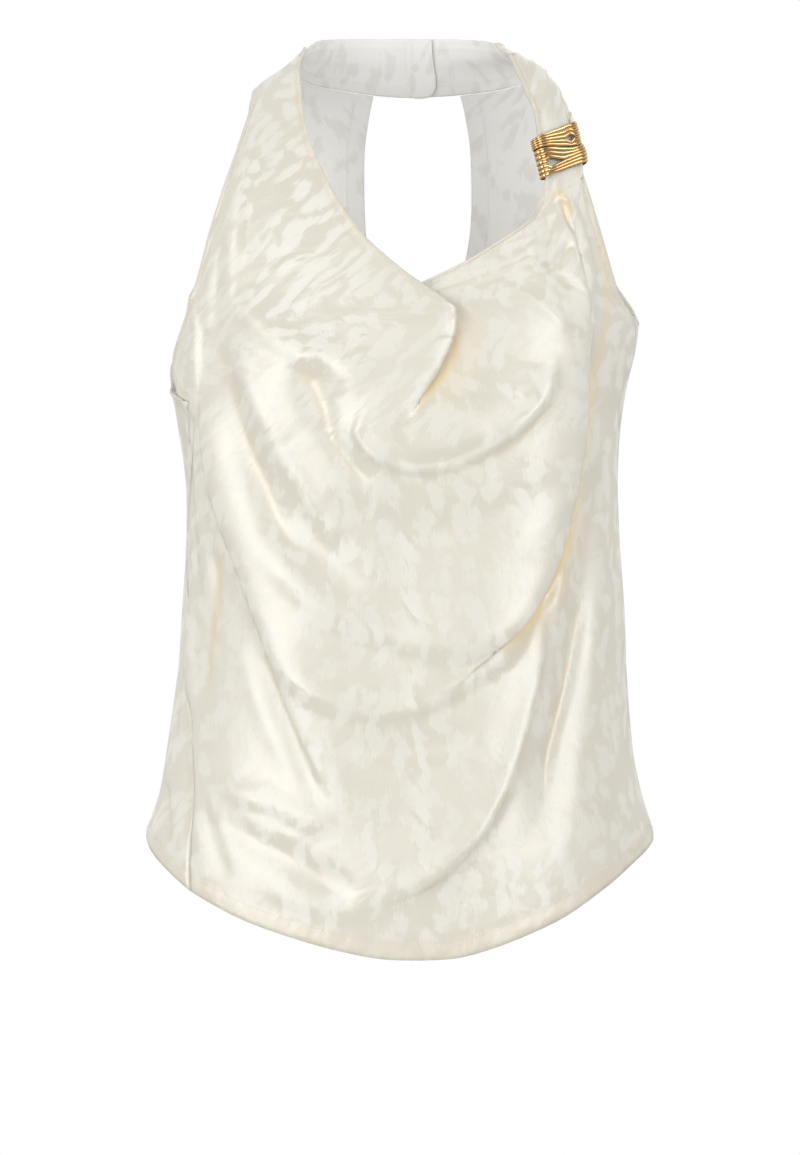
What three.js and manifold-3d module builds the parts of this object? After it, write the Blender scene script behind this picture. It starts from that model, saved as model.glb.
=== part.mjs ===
// Sleeveless halter neck top, worn shape with nobody in it. Millimetres, +Z up, front towards -Y,
// origin at the centre of the neck opening, half way up the neckband. The front is one draped
// piece with both shoulder straps, the back has a long keyhole, and a stand neckband closes at the
// nape with an overlapping tab. A slide buckle sits on the strap at +X.
import * as THREE from 'three';
import { mergeVertices } from 'three/addons/utils/BufferGeometryUtils.js';
import Module from 'manifold-3d';

const wall = 1.5;
const seamGap = 0.45;
const arcPerDegree = 2.44;
const roundness = 2.25;
// Of a fold's falling width: how far before the crest its top starts, and how far its lean reaches.
const lipPart = 0.25;
const curlPart = 0.3125;

// Worn form, a row for each height: half widths left and right of the origin, depths in front and
// behind.
const sections = [
  { z: 24, left: 66, right: 66, front: 42, back: 58 },
  { z: 12, left: 68.5, right: 70, front: 44, back: 60 },
  { z: 4, left: 71.5, right: 74, front: 47, back: 62 },
  { z: -2, left: 77, right: 88, front: 50, back: 64 },
  { z: -9, left: 85, right: 99, front: 53, back: 66 },
  { z: -16, left: 95.5, right: 104, front: 57, back: 68 },
  { z: -23, left: 104.5, right: 109, front: 61, back: 71 },
  { z: -30, left: 109, right: 112, front: 64.5, back: 73.5 },
  { z: -40, left: 117, right: 119, front: 69, back: 76 },
  { z: -60, left: 131, right: 132, front: 76, back: 82 },
  { z: -95, left: 148, right: 148, front: 87, back: 90 },
  { z: -130, left: 157, right: 158, front: 96, back: 96 },
  { z: -165, left: 163, right: 165, front: 104, back: 99 },
  { z: -200, left: 166, right: 164, front: 112, back: 100 },
  { z: -236, left: 163, right: 156, front: 118, back: 98 },
  { z: -264, left: 158.5, right: 152, front: 121, back: 95 },
  { z: -300, left: 153.5, right: 150.5, front: 120, back: 90 },
  { z: -340, left: 153, right: 151.5, front: 117, back: 86 },
  { z: -392, left: 156, right: 155, front: 114, back: 86 },
  { z: -434, left: 159, right: 156.5, front: 114, back: 91 },
  { z: -491, left: 167, right: 161, front: 118, back: 101 },
  { z: -520, left: 172, right: 167, front: 121, back: 106 },
  { z: -549, left: 181, right: 175, front: 124, back: 110 },
  { z: -640, left: 190, right: 184, front: 127, back: 116 },
];

// Cut edges on the worn form. Each point is degrees round the body, from the centre front towards
// +X, and height.
const edges = {
  hemFrontLeft: [[5, -628], [-7, -627], [-20, -621.5], [-33, -613], [-46, -601.5], [-60, -584]],
  hemFrontRight: [[5, -628], [16, -626.5], [26, -620.5], [36, -611.5], [46, -600], [58, -581], [70, -563.5],
    [85, -552], [100, -553], [115, -566]],
  hemBackRight: [[115, -566], [130, -583], [150, -604], [180, -619]],
  hemBackLeft: [[180, -619], [210, -604], [235, -578], [255, -556], [272, -550], [287, -564],
    [300, -584]],
  sideSeamLeft: [[-60, -584], [-64, -510], [-72, -450], [-79, -390], [-81.5, -342], [-77, -295],
    [-68.5, -247]],
  sideSeamRight: [[115, -566], [107, -501], [101, -430], [97, -340], [94, -270], [86, -215], [77, -185]],
  armholeFrontLeft: [[-68.5, -247], [-65.3, -225], [-67.4, -180], [-67.8, -130], [-67, -97], [-68, -67],
    [-73, -42], [-90, -31]],
  armholeFrontRight: [[77, -185], [70.4, -174], [67.4, -158], [66.2, -125], [66.3, -99], [67, -75],
    [67.6, -52], [74, -35], [91, -24]],
  armholeBackLeft: [[291.5, -247], [280, -238], [269.5, -223], [258, -195], [252.5, -140], [252, -95],
    [253, -60], [257, -42], [270, -31]],
  armholeBackRight: [[77, -185], [84, -188], [92, -187], [102.6, -162], [106.5, -133], [108.5, -97],
    [105, -62], [101, -38], [91, -24]],
  shoulderTipLeft: [-90, -31],
  shoulderTipRight: [91, -24],
  neckPointLeft: [-90, -2],
  neckPointRight: [90, 1],
  necklineLeft: [[-4.4, -187], [-15.5, -165], [-23.5, -144], [-28.7, -127], [-37.7, -91], [-43.8, -67],
    [-50, -43], [-57, -22], [-67.4, -8], [-72, -1.5]],
  necklineRight: [[-4.4, -187], [2.6, -170], [7, -166], [24, -150], [41, -126], [51, -108], [54.8, -94],
    [57.2, -63], [60.5, -42], [61.3, -27], [63, -12], [66, -2.5]],
  keyholeLeft: [[175, -192], [184, -184], [191, -164], [196, -122], [198.5, -79], [199.4, -50], [197.7, -20]],
  keyholeRight: [[175, -192], [166, -184], [159, -164], [152.5, -120], [149.5, -79], [147.8, -45],
    [148.5, -20]],
  bandFootLeft: [[-184, -21.3], [-175, -21], [-162.3, -19.8], [-145, -17], [-128, -14], [-110, -9],
    [-98, -4.2], [-90, -2], [-81, -1], [-72, -1.5]],
  bandFootRight: [[66, -2.5], [77, 0], [90, 1], [99, -3.5], [110, -11], [125, -16.5],
    [148.5, -19.8], [171.6, -21.2], [180, -21.3]],
  bandTopLeft: [[-200, 20.5], [-188, 20.8], [-165, 20.5], [-149, 20], [-122, 17], [-112, 13], [-104, 9],
    [-92, 6.8], [-80, 5.6]],
  bandTopRight: [[70, 7], [90, 8], [107, 12], [127, 17], [145, 19.5], [172, 20.8], [180, 21]],
  bandFrontLeft: [[-72, -1.5], [-76, 2], [-80, 5.6]],
  bandFrontRight: [[66, -2.5], [68, 2.2], [70, 7]],
  chestLineLeft: [[-68.5, -247], [-50, -232], [-22, -202], [-4.4, -187]],
  chestLineRight: [[-4.4, -187], [20, -196], [50, -196], [77, -185]],
  bladeLineRight: [[77, -185], [110, -204], [150, -204], [175, -192]],
  bladeLineLeft: [[175, -192], [200, -206], [250, -225], [291.5, -247]],
};

// Folds, a row for each. The crest follows points of degrees and height. It stands out by `height`
// and leans over by `over` towards the side where the cloth drops away, which is on the left of
// someone who walks the path on the outside. `rise` and `fall` are the widths of its two slopes,
// and the fades are the shares of the path over which it grows and dies away.
const frontFolds = [
  { name: 'neckline pleat', path: [[-5.7, -90], [-5.7, -187], [-4.3, -230], [-2.3, -264]],
    height: 10, over: 57, rise: 60, fall: 40.6, fadeIn: 0, fadeOut: 0.42 },
  { name: 'cowl swag', path: [[37, -222], [32, -246], [25, -266], [14, -279], [3, -284], [-7, -279],
    [-14, -262], [-19, -236]], height: 7, over: 4, rise: 22, fall: 28, fadeIn: 0.35, fadeOut: 0.35 },
  { name: 'right drape', path: [[54.5, -98], [54, -145], [52.5, -190], [50, -240], [45.5, -290], [40.5, -335],
    [33.5, -366], [23, -390], [12, -415], [0, -439], [-12, -450]],
    height: 11, over: 17, rise: 40, fall: 38, fadeIn: 0.22, fadeOut: 0.35 },
  { name: 'left drape', path: [[-16, -545], [-28, -480], [-40, -414], [-50, -356], [-59, -303],
    [-61, -255], [-62, -200]], height: 9, over: 13, rise: 42, fall: 30, fadeIn: 0.4, fadeOut: 0.3 },
  { name: 'lower drape', path: [[44, -380], [39, -430], [33, -478], [24, -525], [10, -562], [-6, -580],
    [-22, -592]], height: 6, over: 7, rise: 34, fall: 26, fadeIn: 0.25, fadeOut: 0.3 },
  { name: 'left valley', path: [[-58, -186], [-56, -222], [-48, -255], [-41, -288], [-32, -322],
    [-20, -362], [-12, -385]], height: -7, over: 0, rise: 15, fall: 28, fadeIn: 0.2, fadeOut: 0.3 },
  { name: 'left short valley', path: [[-34, -218], [-30, -242], [-23, -266]],
    height: -4, over: 0, rise: 10, fall: 18, fadeIn: 0.35, fadeOut: 0.35 },
  { name: 'right valley', path: [[64, -275], [63, -330], [60, -385], [54, -450], [47, -505], [41, -560]],
    height: -6, over: 0, rise: 13, fall: 24, fadeIn: 0.3, fadeOut: 0.3 },
  { name: 'strap ridge', path: [[-65, -45], [-60.5, -85], [-59.5, -125], [-61, -172]],
    height: 3, over: 0, rise: 9, fall: 15, fadeIn: 0.3, fadeOut: 0.3 },
  { name: 'gather valley', path: [[58, -88], [52, -112], [49.5, -150], [48.5, -215]],
    height: -4.5, over: 0, rise: 9, fall: 17, fadeIn: 0.25, fadeOut: 0.45 },
  { name: 'gather roll', path: [[56, -92], [48, -121], [36, -141], [22, -158]],
    height: -3, over: 0, rise: 7, fall: 12, fadeIn: 0.2, fadeOut: 0.5 },
];
const backFolds = [
  { name: 'back left pull', path: [[262, -215], [248, -262], [232, -310], [214, -352]],
    height: -5, over: 0, rise: 16, fall: 28, fadeIn: 0.3, fadeOut: 0.4 },
  { name: 'back right pull', path: [[112, -200], [124, -250], [138, -296], [156, -344]],
    height: -5, over: 0, rise: 16, fall: 28, fadeIn: 0.3, fadeOut: 0.4 },
  { name: 'back swag', path: [[214, -372], [196, -392], [178, -398], [160, -390], [146, -368]],
    height: 5, over: 0, rise: 20, fall: 26, fadeIn: 0.35, fadeOut: 0.35 },
  { name: 'back left flute', path: [[226, -430], [222, -500], [220, -600]],
    height: 6, over: 0, rise: 20, fall: 34, fadeIn: 0.4, fadeOut: 0 },
  { name: 'back right flute', path: [[142, -425], [145, -500], [148, -605]],
    height: 6, over: 0, rise: 20, fall: 34, fadeIn: 0.4, fadeOut: 0 },
];

// The left half of the neckband runs on past the nape as a tab inside the right half.
const tab = {
  inset: 2.4, rampFrom: -184, rampTo: -188, end: -200,
  foot: [[-200, -11], [-198, -17], [-194, -20.6], [-184, -21.3]],
};
const napeSeam = 171.6;

// Slide buckle: a flattened ribbed sleeve, cut slanting across, with two three-cornered eyes and a
// slot in its front. `seat` is where it holds the strap, in degrees and height.
const buckle = {
  seat: [63.8, -69], width: 41, height: 28, depth: 10.4, plate: 1.4, ribs: 6, ribHeight: 0.5,
  slant: 0.31, sides: 44, settle: 1.7, squareness: 4, eyesFrom: 0.2,
};
const eyes = [
  { name: 'upper eye', corners: [[7.2, -5.2], [14.6, -4.6], [13.6, -10.2]] },
  { name: 'lower eye', corners: [[-9.8, 2.4], [2.2, 4.6], [-8.2, 9.4]] },
  { name: 'slot', corners: [[1.5, -1.2], [16.2, -2.0], [16.2, -0.5], [1.5, -0.4]] },
];

const degree = Math.PI / 180;
const clamp01 = (t) => Math.min(Math.max(t, 0), 1);
const smooth = (t) => t * t * (3 - 2 * t);

// Cubic curve through the section table, one column at a time.
function sectionAt(z) {
  const last = sections.length - 1;
  let i = 0;
  while (i < last - 1 && sections[i + 1].z > z) i += 1;
  const slope = (a, b, key) => (sections[b][key] - sections[a][key]) / (sections[b].z - sections[a].z);
  const step = sections[i + 1].z - sections[i].z;
  const t = Math.min(Math.max((z - sections[i].z) / step, 0), 1);
  const blend = (key) => {
    const m0 = slope(Math.max(i - 1, 0), i + 1, key) * step;
    const m1 = slope(i, Math.min(i + 2, last), key) * step;
    const t2 = t * t;
    const t3 = t2 * t;
    return (2 * t3 - 3 * t2 + 1) * sections[i][key] + (t3 - 2 * t2 + t) * m0
      + (3 * t2 - 2 * t3) * sections[i + 1][key] + (t3 - t2) * m1;
  };
  return { left: blend('left'), right: blend('right'), front: blend('front'), back: blend('back') };
}

// A point of the worn form and the level direction that faces out there.
function formAt(around, z) {
  const size = sectionAt(z);
  const sin = Math.sin(around * degree);
  const cos = Math.cos(around * degree);
  const halfWidth = sin < 0 ? size.left : size.right;
  const depth = cos < 0 ? size.back : size.front;
  const reach = (Math.abs(sin / halfWidth) ** roundness + Math.abs(cos / depth) ** roundness)
    ** (-1 / roundness);
  const point = new THREE.Vector3(reach * sin, -reach * cos, z);
  const out = new THREE.Vector3(
    Math.sign(sin) * Math.abs(point.x / halfWidth) ** (roundness - 1) / halfWidth,
    -Math.sign(cos) * Math.abs(point.y / depth) ** (roundness - 1) / depth,
    0,
  ).normalize();
  return { point, out };
}

const toPlane = ([around, z]) => new THREE.Vector2(around * arcPerDegree, z);
const pathSteps = 28;
for (const fold of [...frontFolds, ...backFolds]) {
  fold.points = new THREE.SplineCurve(fold.path.map(toPlane)).getSpacedPoints(pathSteps);
}

// Nearest place on a fold's crest: share of its length, and distance, positive on the falling side.
function nearest(points, s, z) {
  let best = { square: Infinity };
  for (let k = 0; k < pathSteps; k += 1) {
    const a = points[k];
    const b = points[k + 1];
    const ds = b.x - a.x;
    const dz = b.y - a.y;
    const t = clamp01(((s - a.x) * ds + (z - a.y) * dz) / (ds * ds + dz * dz));
    const offS = s - a.x - t * ds;
    const offZ = z - a.y - t * dz;
    const square = offS * offS + offZ * offZ;
    if (square < best.square) {
      const length = Math.hypot(ds, dz);
      const side = { s: -dz / length, z: ds / length };
      const sign = offS * side.s + offZ * side.z < 0 ? -1 : 1;
      best = { square, share: (k + t) / pathSteps, away: sign * Math.sqrt(square), side };
    }
  }
  return best;
}

function foldsAt(folds, s, z) {
  const move = { s: 0, z: 0, out: 0 };
  for (const fold of folds) {
    const { share, away, side } = nearest(fold.points, s, z);
    const grow = fold.fadeIn > 0 ? Math.sin(clamp01(share / fold.fadeIn) * Math.PI / 2) : 1;
    const die = fold.fadeOut > 0 ? Math.sin(clamp01((1 - share) / fold.fadeOut) * Math.PI / 2) : 1;
    const lip = fold.fall * lipPart;
    const slope = away < 0 ? fold.rise : fold.fall * curlPart;
    const lean = fold.over * grow * die * Math.exp(-((away / slope) ** 2));
    const stand = away < -lip ? Math.exp(-(((away + lip) / fold.rise) ** 2))
      : 1 - smooth(clamp01((away + lip) / fold.fall));
    move.s += side.s * lean;
    move.z += side.z * lean;
    move.out += fold.height * grow * die * stand;
  }
  return move;
}

// The middle of the cloth at a place on the form, with every fold in it.
function clothAt(s, z) {
  const around = s / arcPerDegree;
  const fromFront = around > 180 ? around - 360 : around;
  const fromBack = around < 0 ? around + 360 : around;
  const front = foldsAt(frontFolds, fromFront * arcPerDegree, z);
  const back = foldsAt(backFolds, fromBack * arcPerDegree, z);
  const { point, out } = formAt((s + front.s + back.s) / arcPerDegree, z + front.z + back.z);
  return point.addScaledVector(out, front.out + back.out);
}

const probe = 0.6;
function facingAt(s, z) {
  const across = clothAt(s + probe, z).sub(clothAt(s - probe, z));
  const up = clothAt(s, z + probe).sub(clothAt(s, z - probe));
  return across.cross(up).normalize();
}

// Four-sided patch between its edge curves, as a function of shares across and up.
function patch({ bottom, top, left, right }) {
  const corner = (curve, t) => curve.getPointAt(t);
  const c00 = corner(bottom, 0);
  const c10 = corner(bottom, 1);
  const c01 = corner(top, 0);
  const c11 = corner(top, 1);
  return (u, v) => {
    const low = bottom.getPointAt(u);
    const high = top.getPointAt(u);
    const near = left.getPointAt(v);
    const far = right.getPointAt(v);
    const mix = (key) => (1 - v) * low[key] + v * high[key] + (1 - u) * near[key] + u * far[key]
      - ((1 - u) * (1 - v) * c00[key] + u * (1 - v) * c10[key] + (1 - u) * v * c01[key] + u * v * c11[key]);
    return new THREE.Vector2(mix('x'), mix('y'));
  };
}

const curve = (points, shiftS = 0, shiftZ = 0) => new THREE.SplineCurve(
  points.map(toPlane).map((p) => new THREE.Vector2(p.x + shiftS, p.y + shiftZ)),
);
const reversed = (points) => [...points].reverse();


// One curve and then another, meeting at a corner that lies at the given share.
const cornered = (first, second, share) => ({
  getPointAt: (t) => (t <= share ? first.getPointAt(t / share)
    : second.getPointAt((t - share) / (1 - share))),
});

// The stretch of a curve between two places round the body.
function stretch(whole, fromAround, toAround) {
  const rising = whole.getPointAt(1).x > whole.getPointAt(0).x;
  const shareAt = (around) => {
    let low = 0;
    let high = 1;
    for (let k = 0; k < 40; k += 1) {
      const middle = (low + high) / 2;
      const before = whole.getPointAt(middle).x < around * arcPerDegree;
      if (before === rising) low = middle;
      else high = middle;
    }
    return (low + high) / 2;
  };
  const from = shareAt(fromAround);
  const to = shareAt(toAround);
  return { getPointAt: (t) => whole.getPointAt(from + (to - from) * t) };
}
const turned = (whole, degrees) => ({
  getPointAt: (t) => whole.getPointAt(t).clone().add(new THREE.Vector2(degrees * arcPerDegree, 0)),
});

// A cloth wall over one or more patches, closed round its rim, which keeps half a seam's gap
// inside the patches' edges. Patches that share an edge share its points. `inward` sets a place
// back from the form, for a layer that lies inside another.
function clothWall(patches, rimInset = seamGap / 2, inward = () => 0) {
  const index = new Map();
  const places = [];
  const quads = [];
  const vertex = (place) => {
    const key = `${place.x.toFixed(2)},${place.y.toFixed(2)}`;
    if (!index.has(key)) {
      index.set(key, places.length);
      places.push(place.clone());
    }
    return index.get(key);
  };
  for (const { at, columns, rows, spread = (t) => t, climb = (t) => t } of patches) {
    const grid = [];
    for (let j = 0; j <= rows; j += 1) {
      grid.push([]);
      for (let i = 0; i <= columns; i += 1) grid[j].push(vertex(at(spread(i / columns), climb(j / rows))));
    }
    for (let j = 0; j < rows; j += 1) {
      for (let i = 0; i < columns; i += 1) {
        quads.push([grid[j][i], grid[j][i + 1], grid[j + 1][i + 1], grid[j + 1][i]]);
      }
    }
  }
  const rim = new Map();
  for (const [a, b, c, d] of quads) {
    for (const [p, q] of [[a, b], [b, c], [c, d], [d, a]]) {
      if (rim.has(`${q}_${p}`)) rim.delete(`${q}_${p}`);
      else rim.set(`${p}_${q}`, [p, q]);
    }
  }
  const pull = new Map();
  for (const [p, q] of rim.values()) {
    const along = places[q].clone().sub(places[p]).normalize();
    for (const end of [p, q]) {
      if (!pull.has(end)) pull.set(end, []);
      pull.get(end).push(new THREE.Vector2(-along.y, along.x));
    }
  }
  for (const [end, [first, second]] of pull) {
    const both = first.clone().add(second);
    places[end].addScaledVector(both, rimInset / Math.max(1 + first.dot(second), 0.5));
  }
  const middle = [];
  const facing = [];
  for (const place of places) {
    const out = facingAt(place.x, place.y);
    facing.push(out);
    middle.push(clothAt(place.x, place.y).addScaledVector(out, -inward(place.x / arcPerDegree)));
  }
  const count = middle.length;
  const position = [];
  for (const side of [0.5, -0.5]) {
    for (let k = 0; k < count; k += 1) {
      const p = middle[k].clone().addScaledVector(facing[k], side * wall);
      position.push(p.x, p.y, p.z);
    }
  }
  const faces = [];
  for (const [a, b, c, d] of quads) {
    const [e, f, g, h] = middle[a].distanceTo(middle[c]) < middle[b].distanceTo(middle[d])
      ? [a, b, c, d] : [b, c, d, a];
    faces.push(e, f, g, e, g, h);
    faces.push(count + e, count + g, count + f, count + e, count + h, count + g);
  }
  for (const [p, q] of rim.values()) faces.push(p, count + p, count + q, p, count + q, q);
  const geometry = new THREE.BufferGeometry();
  geometry.setAttribute('position', new THREE.Float32BufferAttribute(position, 3));
  geometry.setIndex(faces);
  return geometry;
}

const denserNearPleat = (t) => 0.45 * t + 0.55 * t * t;
const denserNearBust = (t) => 1.4 * t - 0.4 * t * t;
const bodyRows = 25;
const strapRows = 14;
const leftColumns = 16;
const rightColumns = 25;
const backColumns = 12;
const bandColumns = 18;
const tabColumns = 9;
// Columns of each strap that end on its shoulder line, and the rest end on the neckband.
const shoulderColumns = { frontLeft: 9, frontRight: 11, back: 3 };
const aroundOf = (point) => point[0];
const lastOf = (points) => points[points.length - 1];
const bandFootLeft = curve(edges.bandFootLeft);
const bandFootRight = curve(edges.bandFootRight);
const shoulderLeft = curve([edges.shoulderTipLeft, edges.neckPointLeft]);
const shoulderRight = curve([edges.shoulderTipRight, edges.neckPointRight]);
const shoulderLeftDown = curve([edges.neckPointLeft, edges.shoulderTipLeft]);
const shoulderRightDown = curve([edges.neckPointRight, edges.shoulderTipRight]);

function frontGeometry() {
  const centre = curve([edges.hemFrontLeft[0], edges.necklineLeft[0]]);
  const chestLeft = curve(edges.chestLineLeft);
  const chestRight = curve(edges.chestLineRight);
  const footLeft = stretch(bandFootLeft, aroundOf(edges.neckPointLeft), aroundOf(edges.bandFrontLeft[0]));
  const footRight = stretch(bandFootRight, aroundOf(edges.bandFrontRight[0]), aroundOf(edges.neckPointRight));
  const topLeft = cornered(shoulderLeft, footLeft, shoulderColumns.frontLeft / leftColumns);
  const topRight = cornered(footRight, shoulderRightDown,
    denserNearPleat(1 - shoulderColumns.frontRight / rightColumns));
  return clothWall([
    { at: patch({ bottom: curve(reversed(edges.hemFrontLeft)), top: chestLeft,
      left: curve(edges.sideSeamLeft), right: centre }),
      columns: leftColumns, rows: bodyRows, climb: denserNearBust },
    { at: patch({ bottom: curve(edges.hemFrontRight), top: chestRight,
      left: centre, right: curve(edges.sideSeamRight) }),
      columns: rightColumns, rows: bodyRows, spread: denserNearPleat, climb: denserNearBust },
    { at: patch({ bottom: chestLeft, top: topLeft,
      left: curve(edges.armholeFrontLeft), right: curve(edges.necklineLeft) }),
      columns: leftColumns, rows: strapRows },
    { at: patch({ bottom: chestRight, top: topRight,
      left: curve(edges.necklineRight), right: curve(edges.armholeFrontRight) }),
      columns: rightColumns, rows: strapRows, spread: denserNearPleat },
  ]);
}

function backGeometry() {
  const seamLeft = turned(curve(edges.sideSeamLeft), 360);
  const centre = curve([edges.hemBackLeft[0], edges.keyholeLeft[0]]);
  const bladeRight = curve(edges.bladeLineRight);
  const bladeLeft = curve(edges.bladeLineLeft);
  const footRight = stretch(bandFootRight, aroundOf(edges.neckPointRight),
    aroundOf(lastOf(edges.keyholeRight)));
  const topRight = cornered(shoulderRight, footRight, shoulderColumns.back / backColumns);
  const footLeft = turned(stretch(bandFootLeft, aroundOf(lastOf(edges.keyholeLeft)) - 360,
    aroundOf(edges.neckPointLeft)), 360);
  const topLeft = cornered(footLeft, turned(shoulderLeftDown, 360),
    1 - shoulderColumns.back / backColumns);
  return clothWall([
    { at: patch({ bottom: curve(edges.hemBackRight), top: bladeRight,
      left: curve(edges.sideSeamRight), right: centre }),
      columns: backColumns, rows: bodyRows, climb: denserNearBust },
    { at: patch({ bottom: curve(edges.hemBackLeft), top: bladeLeft, left: centre, right: seamLeft }),
      columns: backColumns, rows: bodyRows, climb: denserNearBust },
    { at: patch({ bottom: bladeRight, top: topRight,
      left: curve(edges.armholeBackRight), right: curve(edges.keyholeRight) }),
      columns: backColumns, rows: strapRows },
    { at: patch({ bottom: bladeLeft, top: topLeft,
      left: curve(edges.keyholeLeft), right: curve(edges.armholeBackLeft) }),
      columns: backColumns, rows: strapRows },
  ]);
}

const bandRows = 4;
const bandInset = 0.6;
function neckbandLeftGeometry() {
  const crown = curve(edges.bandTopLeft);
  const tabFoot = curve(tab.foot);
  const inward = (around) => tab.inset
    * smooth(clamp01((tab.rampFrom - around) / (tab.rampFrom - tab.rampTo)));
  const split = { foot: bandFootLeft.getPointAt(0), crown: stretch(crown, tab.rampFrom, aroundOf(lastOf(edges.bandFrontLeft))) };
  const splitLine = curve([[split.foot.x / arcPerDegree, split.foot.y],
    [tab.rampFrom, split.crown.getPointAt(0).y]]);
  const tabEnd = curve([tab.foot[0], [tab.end, crown.getPointAt(0).y]]);
  return clothWall([
    { at: patch({ bottom: tabFoot, top: stretch(crown, tab.end, tab.rampFrom),
      left: tabEnd, right: splitLine }), columns: tabColumns, rows: bandRows },
    { at: patch({ bottom: bandFootLeft, top: split.crown,
      left: splitLine, right: curve(edges.bandFrontLeft) }), columns: bandColumns, rows: bandRows },
  ], bandInset, inward);
}

function neckbandRightGeometry() {
  const foot = stretch(bandFootRight, aroundOf(edges.bandFrontRight[0]), napeSeam);
  const crown = stretch(curve(edges.bandTopRight), aroundOf(lastOf(edges.bandFrontRight)), napeSeam);
  const nape = new THREE.LineCurve(foot.getPointAt(1), crown.getPointAt(1));
  return clothWall([
    { at: patch({ bottom: foot, top: crown, left: curve(edges.bandFrontRight), right: nape }),
      columns: bandColumns, rows: bandRows },
  ], bandInset);
}

// A flattened ribbed sleeve round the strap, in axes across the strap, down it and out of it.
async function buckleGeometry() {
  const [around, height] = buckle.seat;
  const out = facingAt(around * arcPerDegree, height);
  const level = new THREE.Vector3(-out.y, out.x, 0).normalize();
  const down = out.clone().cross(level).multiplyScalar(-1).normalize();
  if (down.z > 0) down.negate();
  const centre = clothAt(around * arcPerDegree, height).addScaledVector(out, -buckle.settle);
  const place = (across, along, depth) => centre.clone().addScaledVector(level, across)
    .addScaledVector(down, along - buckle.slant * across).addScaledVector(out, depth);
  const ring = (k, inset) => {
    const turn = (2 * Math.PI * k) / buckle.sides;
    const shape = (t) => Math.sign(t) * Math.abs(t) ** (2 / buckle.squareness);
    const across = (buckle.width / 2 - inset) * shape(Math.cos(turn));
    const depth = (buckle.depth / 2 - inset) * shape(Math.sin(turn));
    return [across, depth];
  };
  const rows = buckle.ribs * 2;
  const position = [];
  const faces = [];
  const loops = [];
  const addLoop = (along, inset) => {
    const loop = [];
    for (let k = 0; k < buckle.sides; k += 1) {
      const [across, depth] = ring(k, inset);
      const p = place(across, along, depth);
      loop.push(position.length / 3);
      position.push(p.x, p.y, p.z);
    }
    loops.push(loop);
  };
  for (let j = 0; j <= rows; j += 1) {
    const valley = j % 2 === 0 ? buckle.ribHeight : 0;
    addLoop((j / rows - 0.5) * buckle.height, valley);
  }
  addLoop(buckle.height / 2, buckle.plate);
  addLoop(-buckle.height / 2, buckle.plate);
  loops.push(loops[0]);
  for (let j = 0; j + 1 < loops.length; j += 1) {
    for (let k = 0; k < buckle.sides; k += 1) {
      const n = (k + 1) % buckle.sides;
      const [a, b, c, d] = [loops[j][k], loops[j][n], loops[j + 1][n], loops[j + 1][k]];
      faces.push(a, b, c, a, c, d);
    }
  }
  const wasm = await Module();
  wasm.setup();
  const solidOf = (geometry) => {
    const bare = geometry.clone();
    bare.deleteAttribute('normal');
    bare.deleteAttribute('uv');
    const merged = mergeVertices(bare);
    return new wasm.Manifold(new wasm.Mesh({
      numProp: 3,
      vertProperties: new Float32Array(merged.getAttribute('position').array),
      triVerts: new Uint32Array(merged.index.array),
    }));
  };
  const sleeve = new THREE.BufferGeometry();
  sleeve.setAttribute('position', new THREE.Float32BufferAttribute(position, 3));
  sleeve.setIndex(faces);
  let solid = solidOf(sleeve);
  for (const eye of eyes) {
    const shape = new THREE.Shape(eye.corners.map(([across, along]) => new THREE.Vector2(across, -along)));
    const cutter = new THREE.ExtrudeGeometry(shape, { depth: buckle.depth, bevelEnabled: false });
    const points = cutter.getAttribute('position');
    for (let k = 0; k < points.count; k += 1) {
      const p = place(points.getX(k), -points.getY(k), points.getZ(k) + buckle.eyesFrom);
      points.setXYZ(k, p.x, p.y, p.z);
    }
    solid = solid.subtract(solidOf(cutter));
  }
  const cut = solid.getMesh();
  const geometry = new THREE.BufferGeometry();
  geometry.setAttribute('position', new THREE.Float32BufferAttribute(cut.vertProperties, 3));
  geometry.setIndex(new THREE.Uint32BufferAttribute(cut.triVerts, 1));
  return geometry;
}

const top = new THREE.Group();
function addPiece(name, geometry, material) {
  const mesh = new THREE.Mesh(geometry, new THREE.MeshStandardMaterial(material));
  mesh.name = name;
  top.add(mesh);
}
const satin = { color: 0xe2dccc, roughness: 0.45, metalness: 0 };
addPiece('front', frontGeometry(), satin);
addPiece('back', backGeometry(), satin);
addPiece('neckband_left', neckbandLeftGeometry(), satin);
addPiece('neckband_right', neckbandRightGeometry(), satin);
addPiece('buckle', await buckleGeometry(), { color: 0xd9a45f, roughness: 0.2, metalness: 1 });
export default top;
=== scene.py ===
"""Halter neck top in cream satin jacquard: a front with a draped cowl and one deep neckline pleat,
a back with a long keyhole, a stand neckband that closes at the nape, and a gold slide buckle."""

import math

import bmesh
import bpy
import numpy as np
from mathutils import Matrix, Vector


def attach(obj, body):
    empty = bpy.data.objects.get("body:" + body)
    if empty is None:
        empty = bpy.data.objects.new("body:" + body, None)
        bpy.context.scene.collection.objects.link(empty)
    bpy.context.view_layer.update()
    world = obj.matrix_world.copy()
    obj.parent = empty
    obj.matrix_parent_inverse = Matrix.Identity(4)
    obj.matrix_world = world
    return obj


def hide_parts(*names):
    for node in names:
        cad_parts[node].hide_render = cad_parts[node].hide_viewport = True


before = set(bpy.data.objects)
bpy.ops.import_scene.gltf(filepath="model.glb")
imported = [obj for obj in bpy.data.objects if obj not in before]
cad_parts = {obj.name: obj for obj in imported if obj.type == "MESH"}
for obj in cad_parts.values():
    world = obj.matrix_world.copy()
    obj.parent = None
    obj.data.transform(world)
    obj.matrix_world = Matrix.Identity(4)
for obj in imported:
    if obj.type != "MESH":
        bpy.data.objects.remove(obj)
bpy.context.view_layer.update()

# Camera, level with the middle of the top and square on to its front. It stands three metres off,
# and its frame is 817 mm high there.
CAMERA_DISTANCE = 3.0
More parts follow.
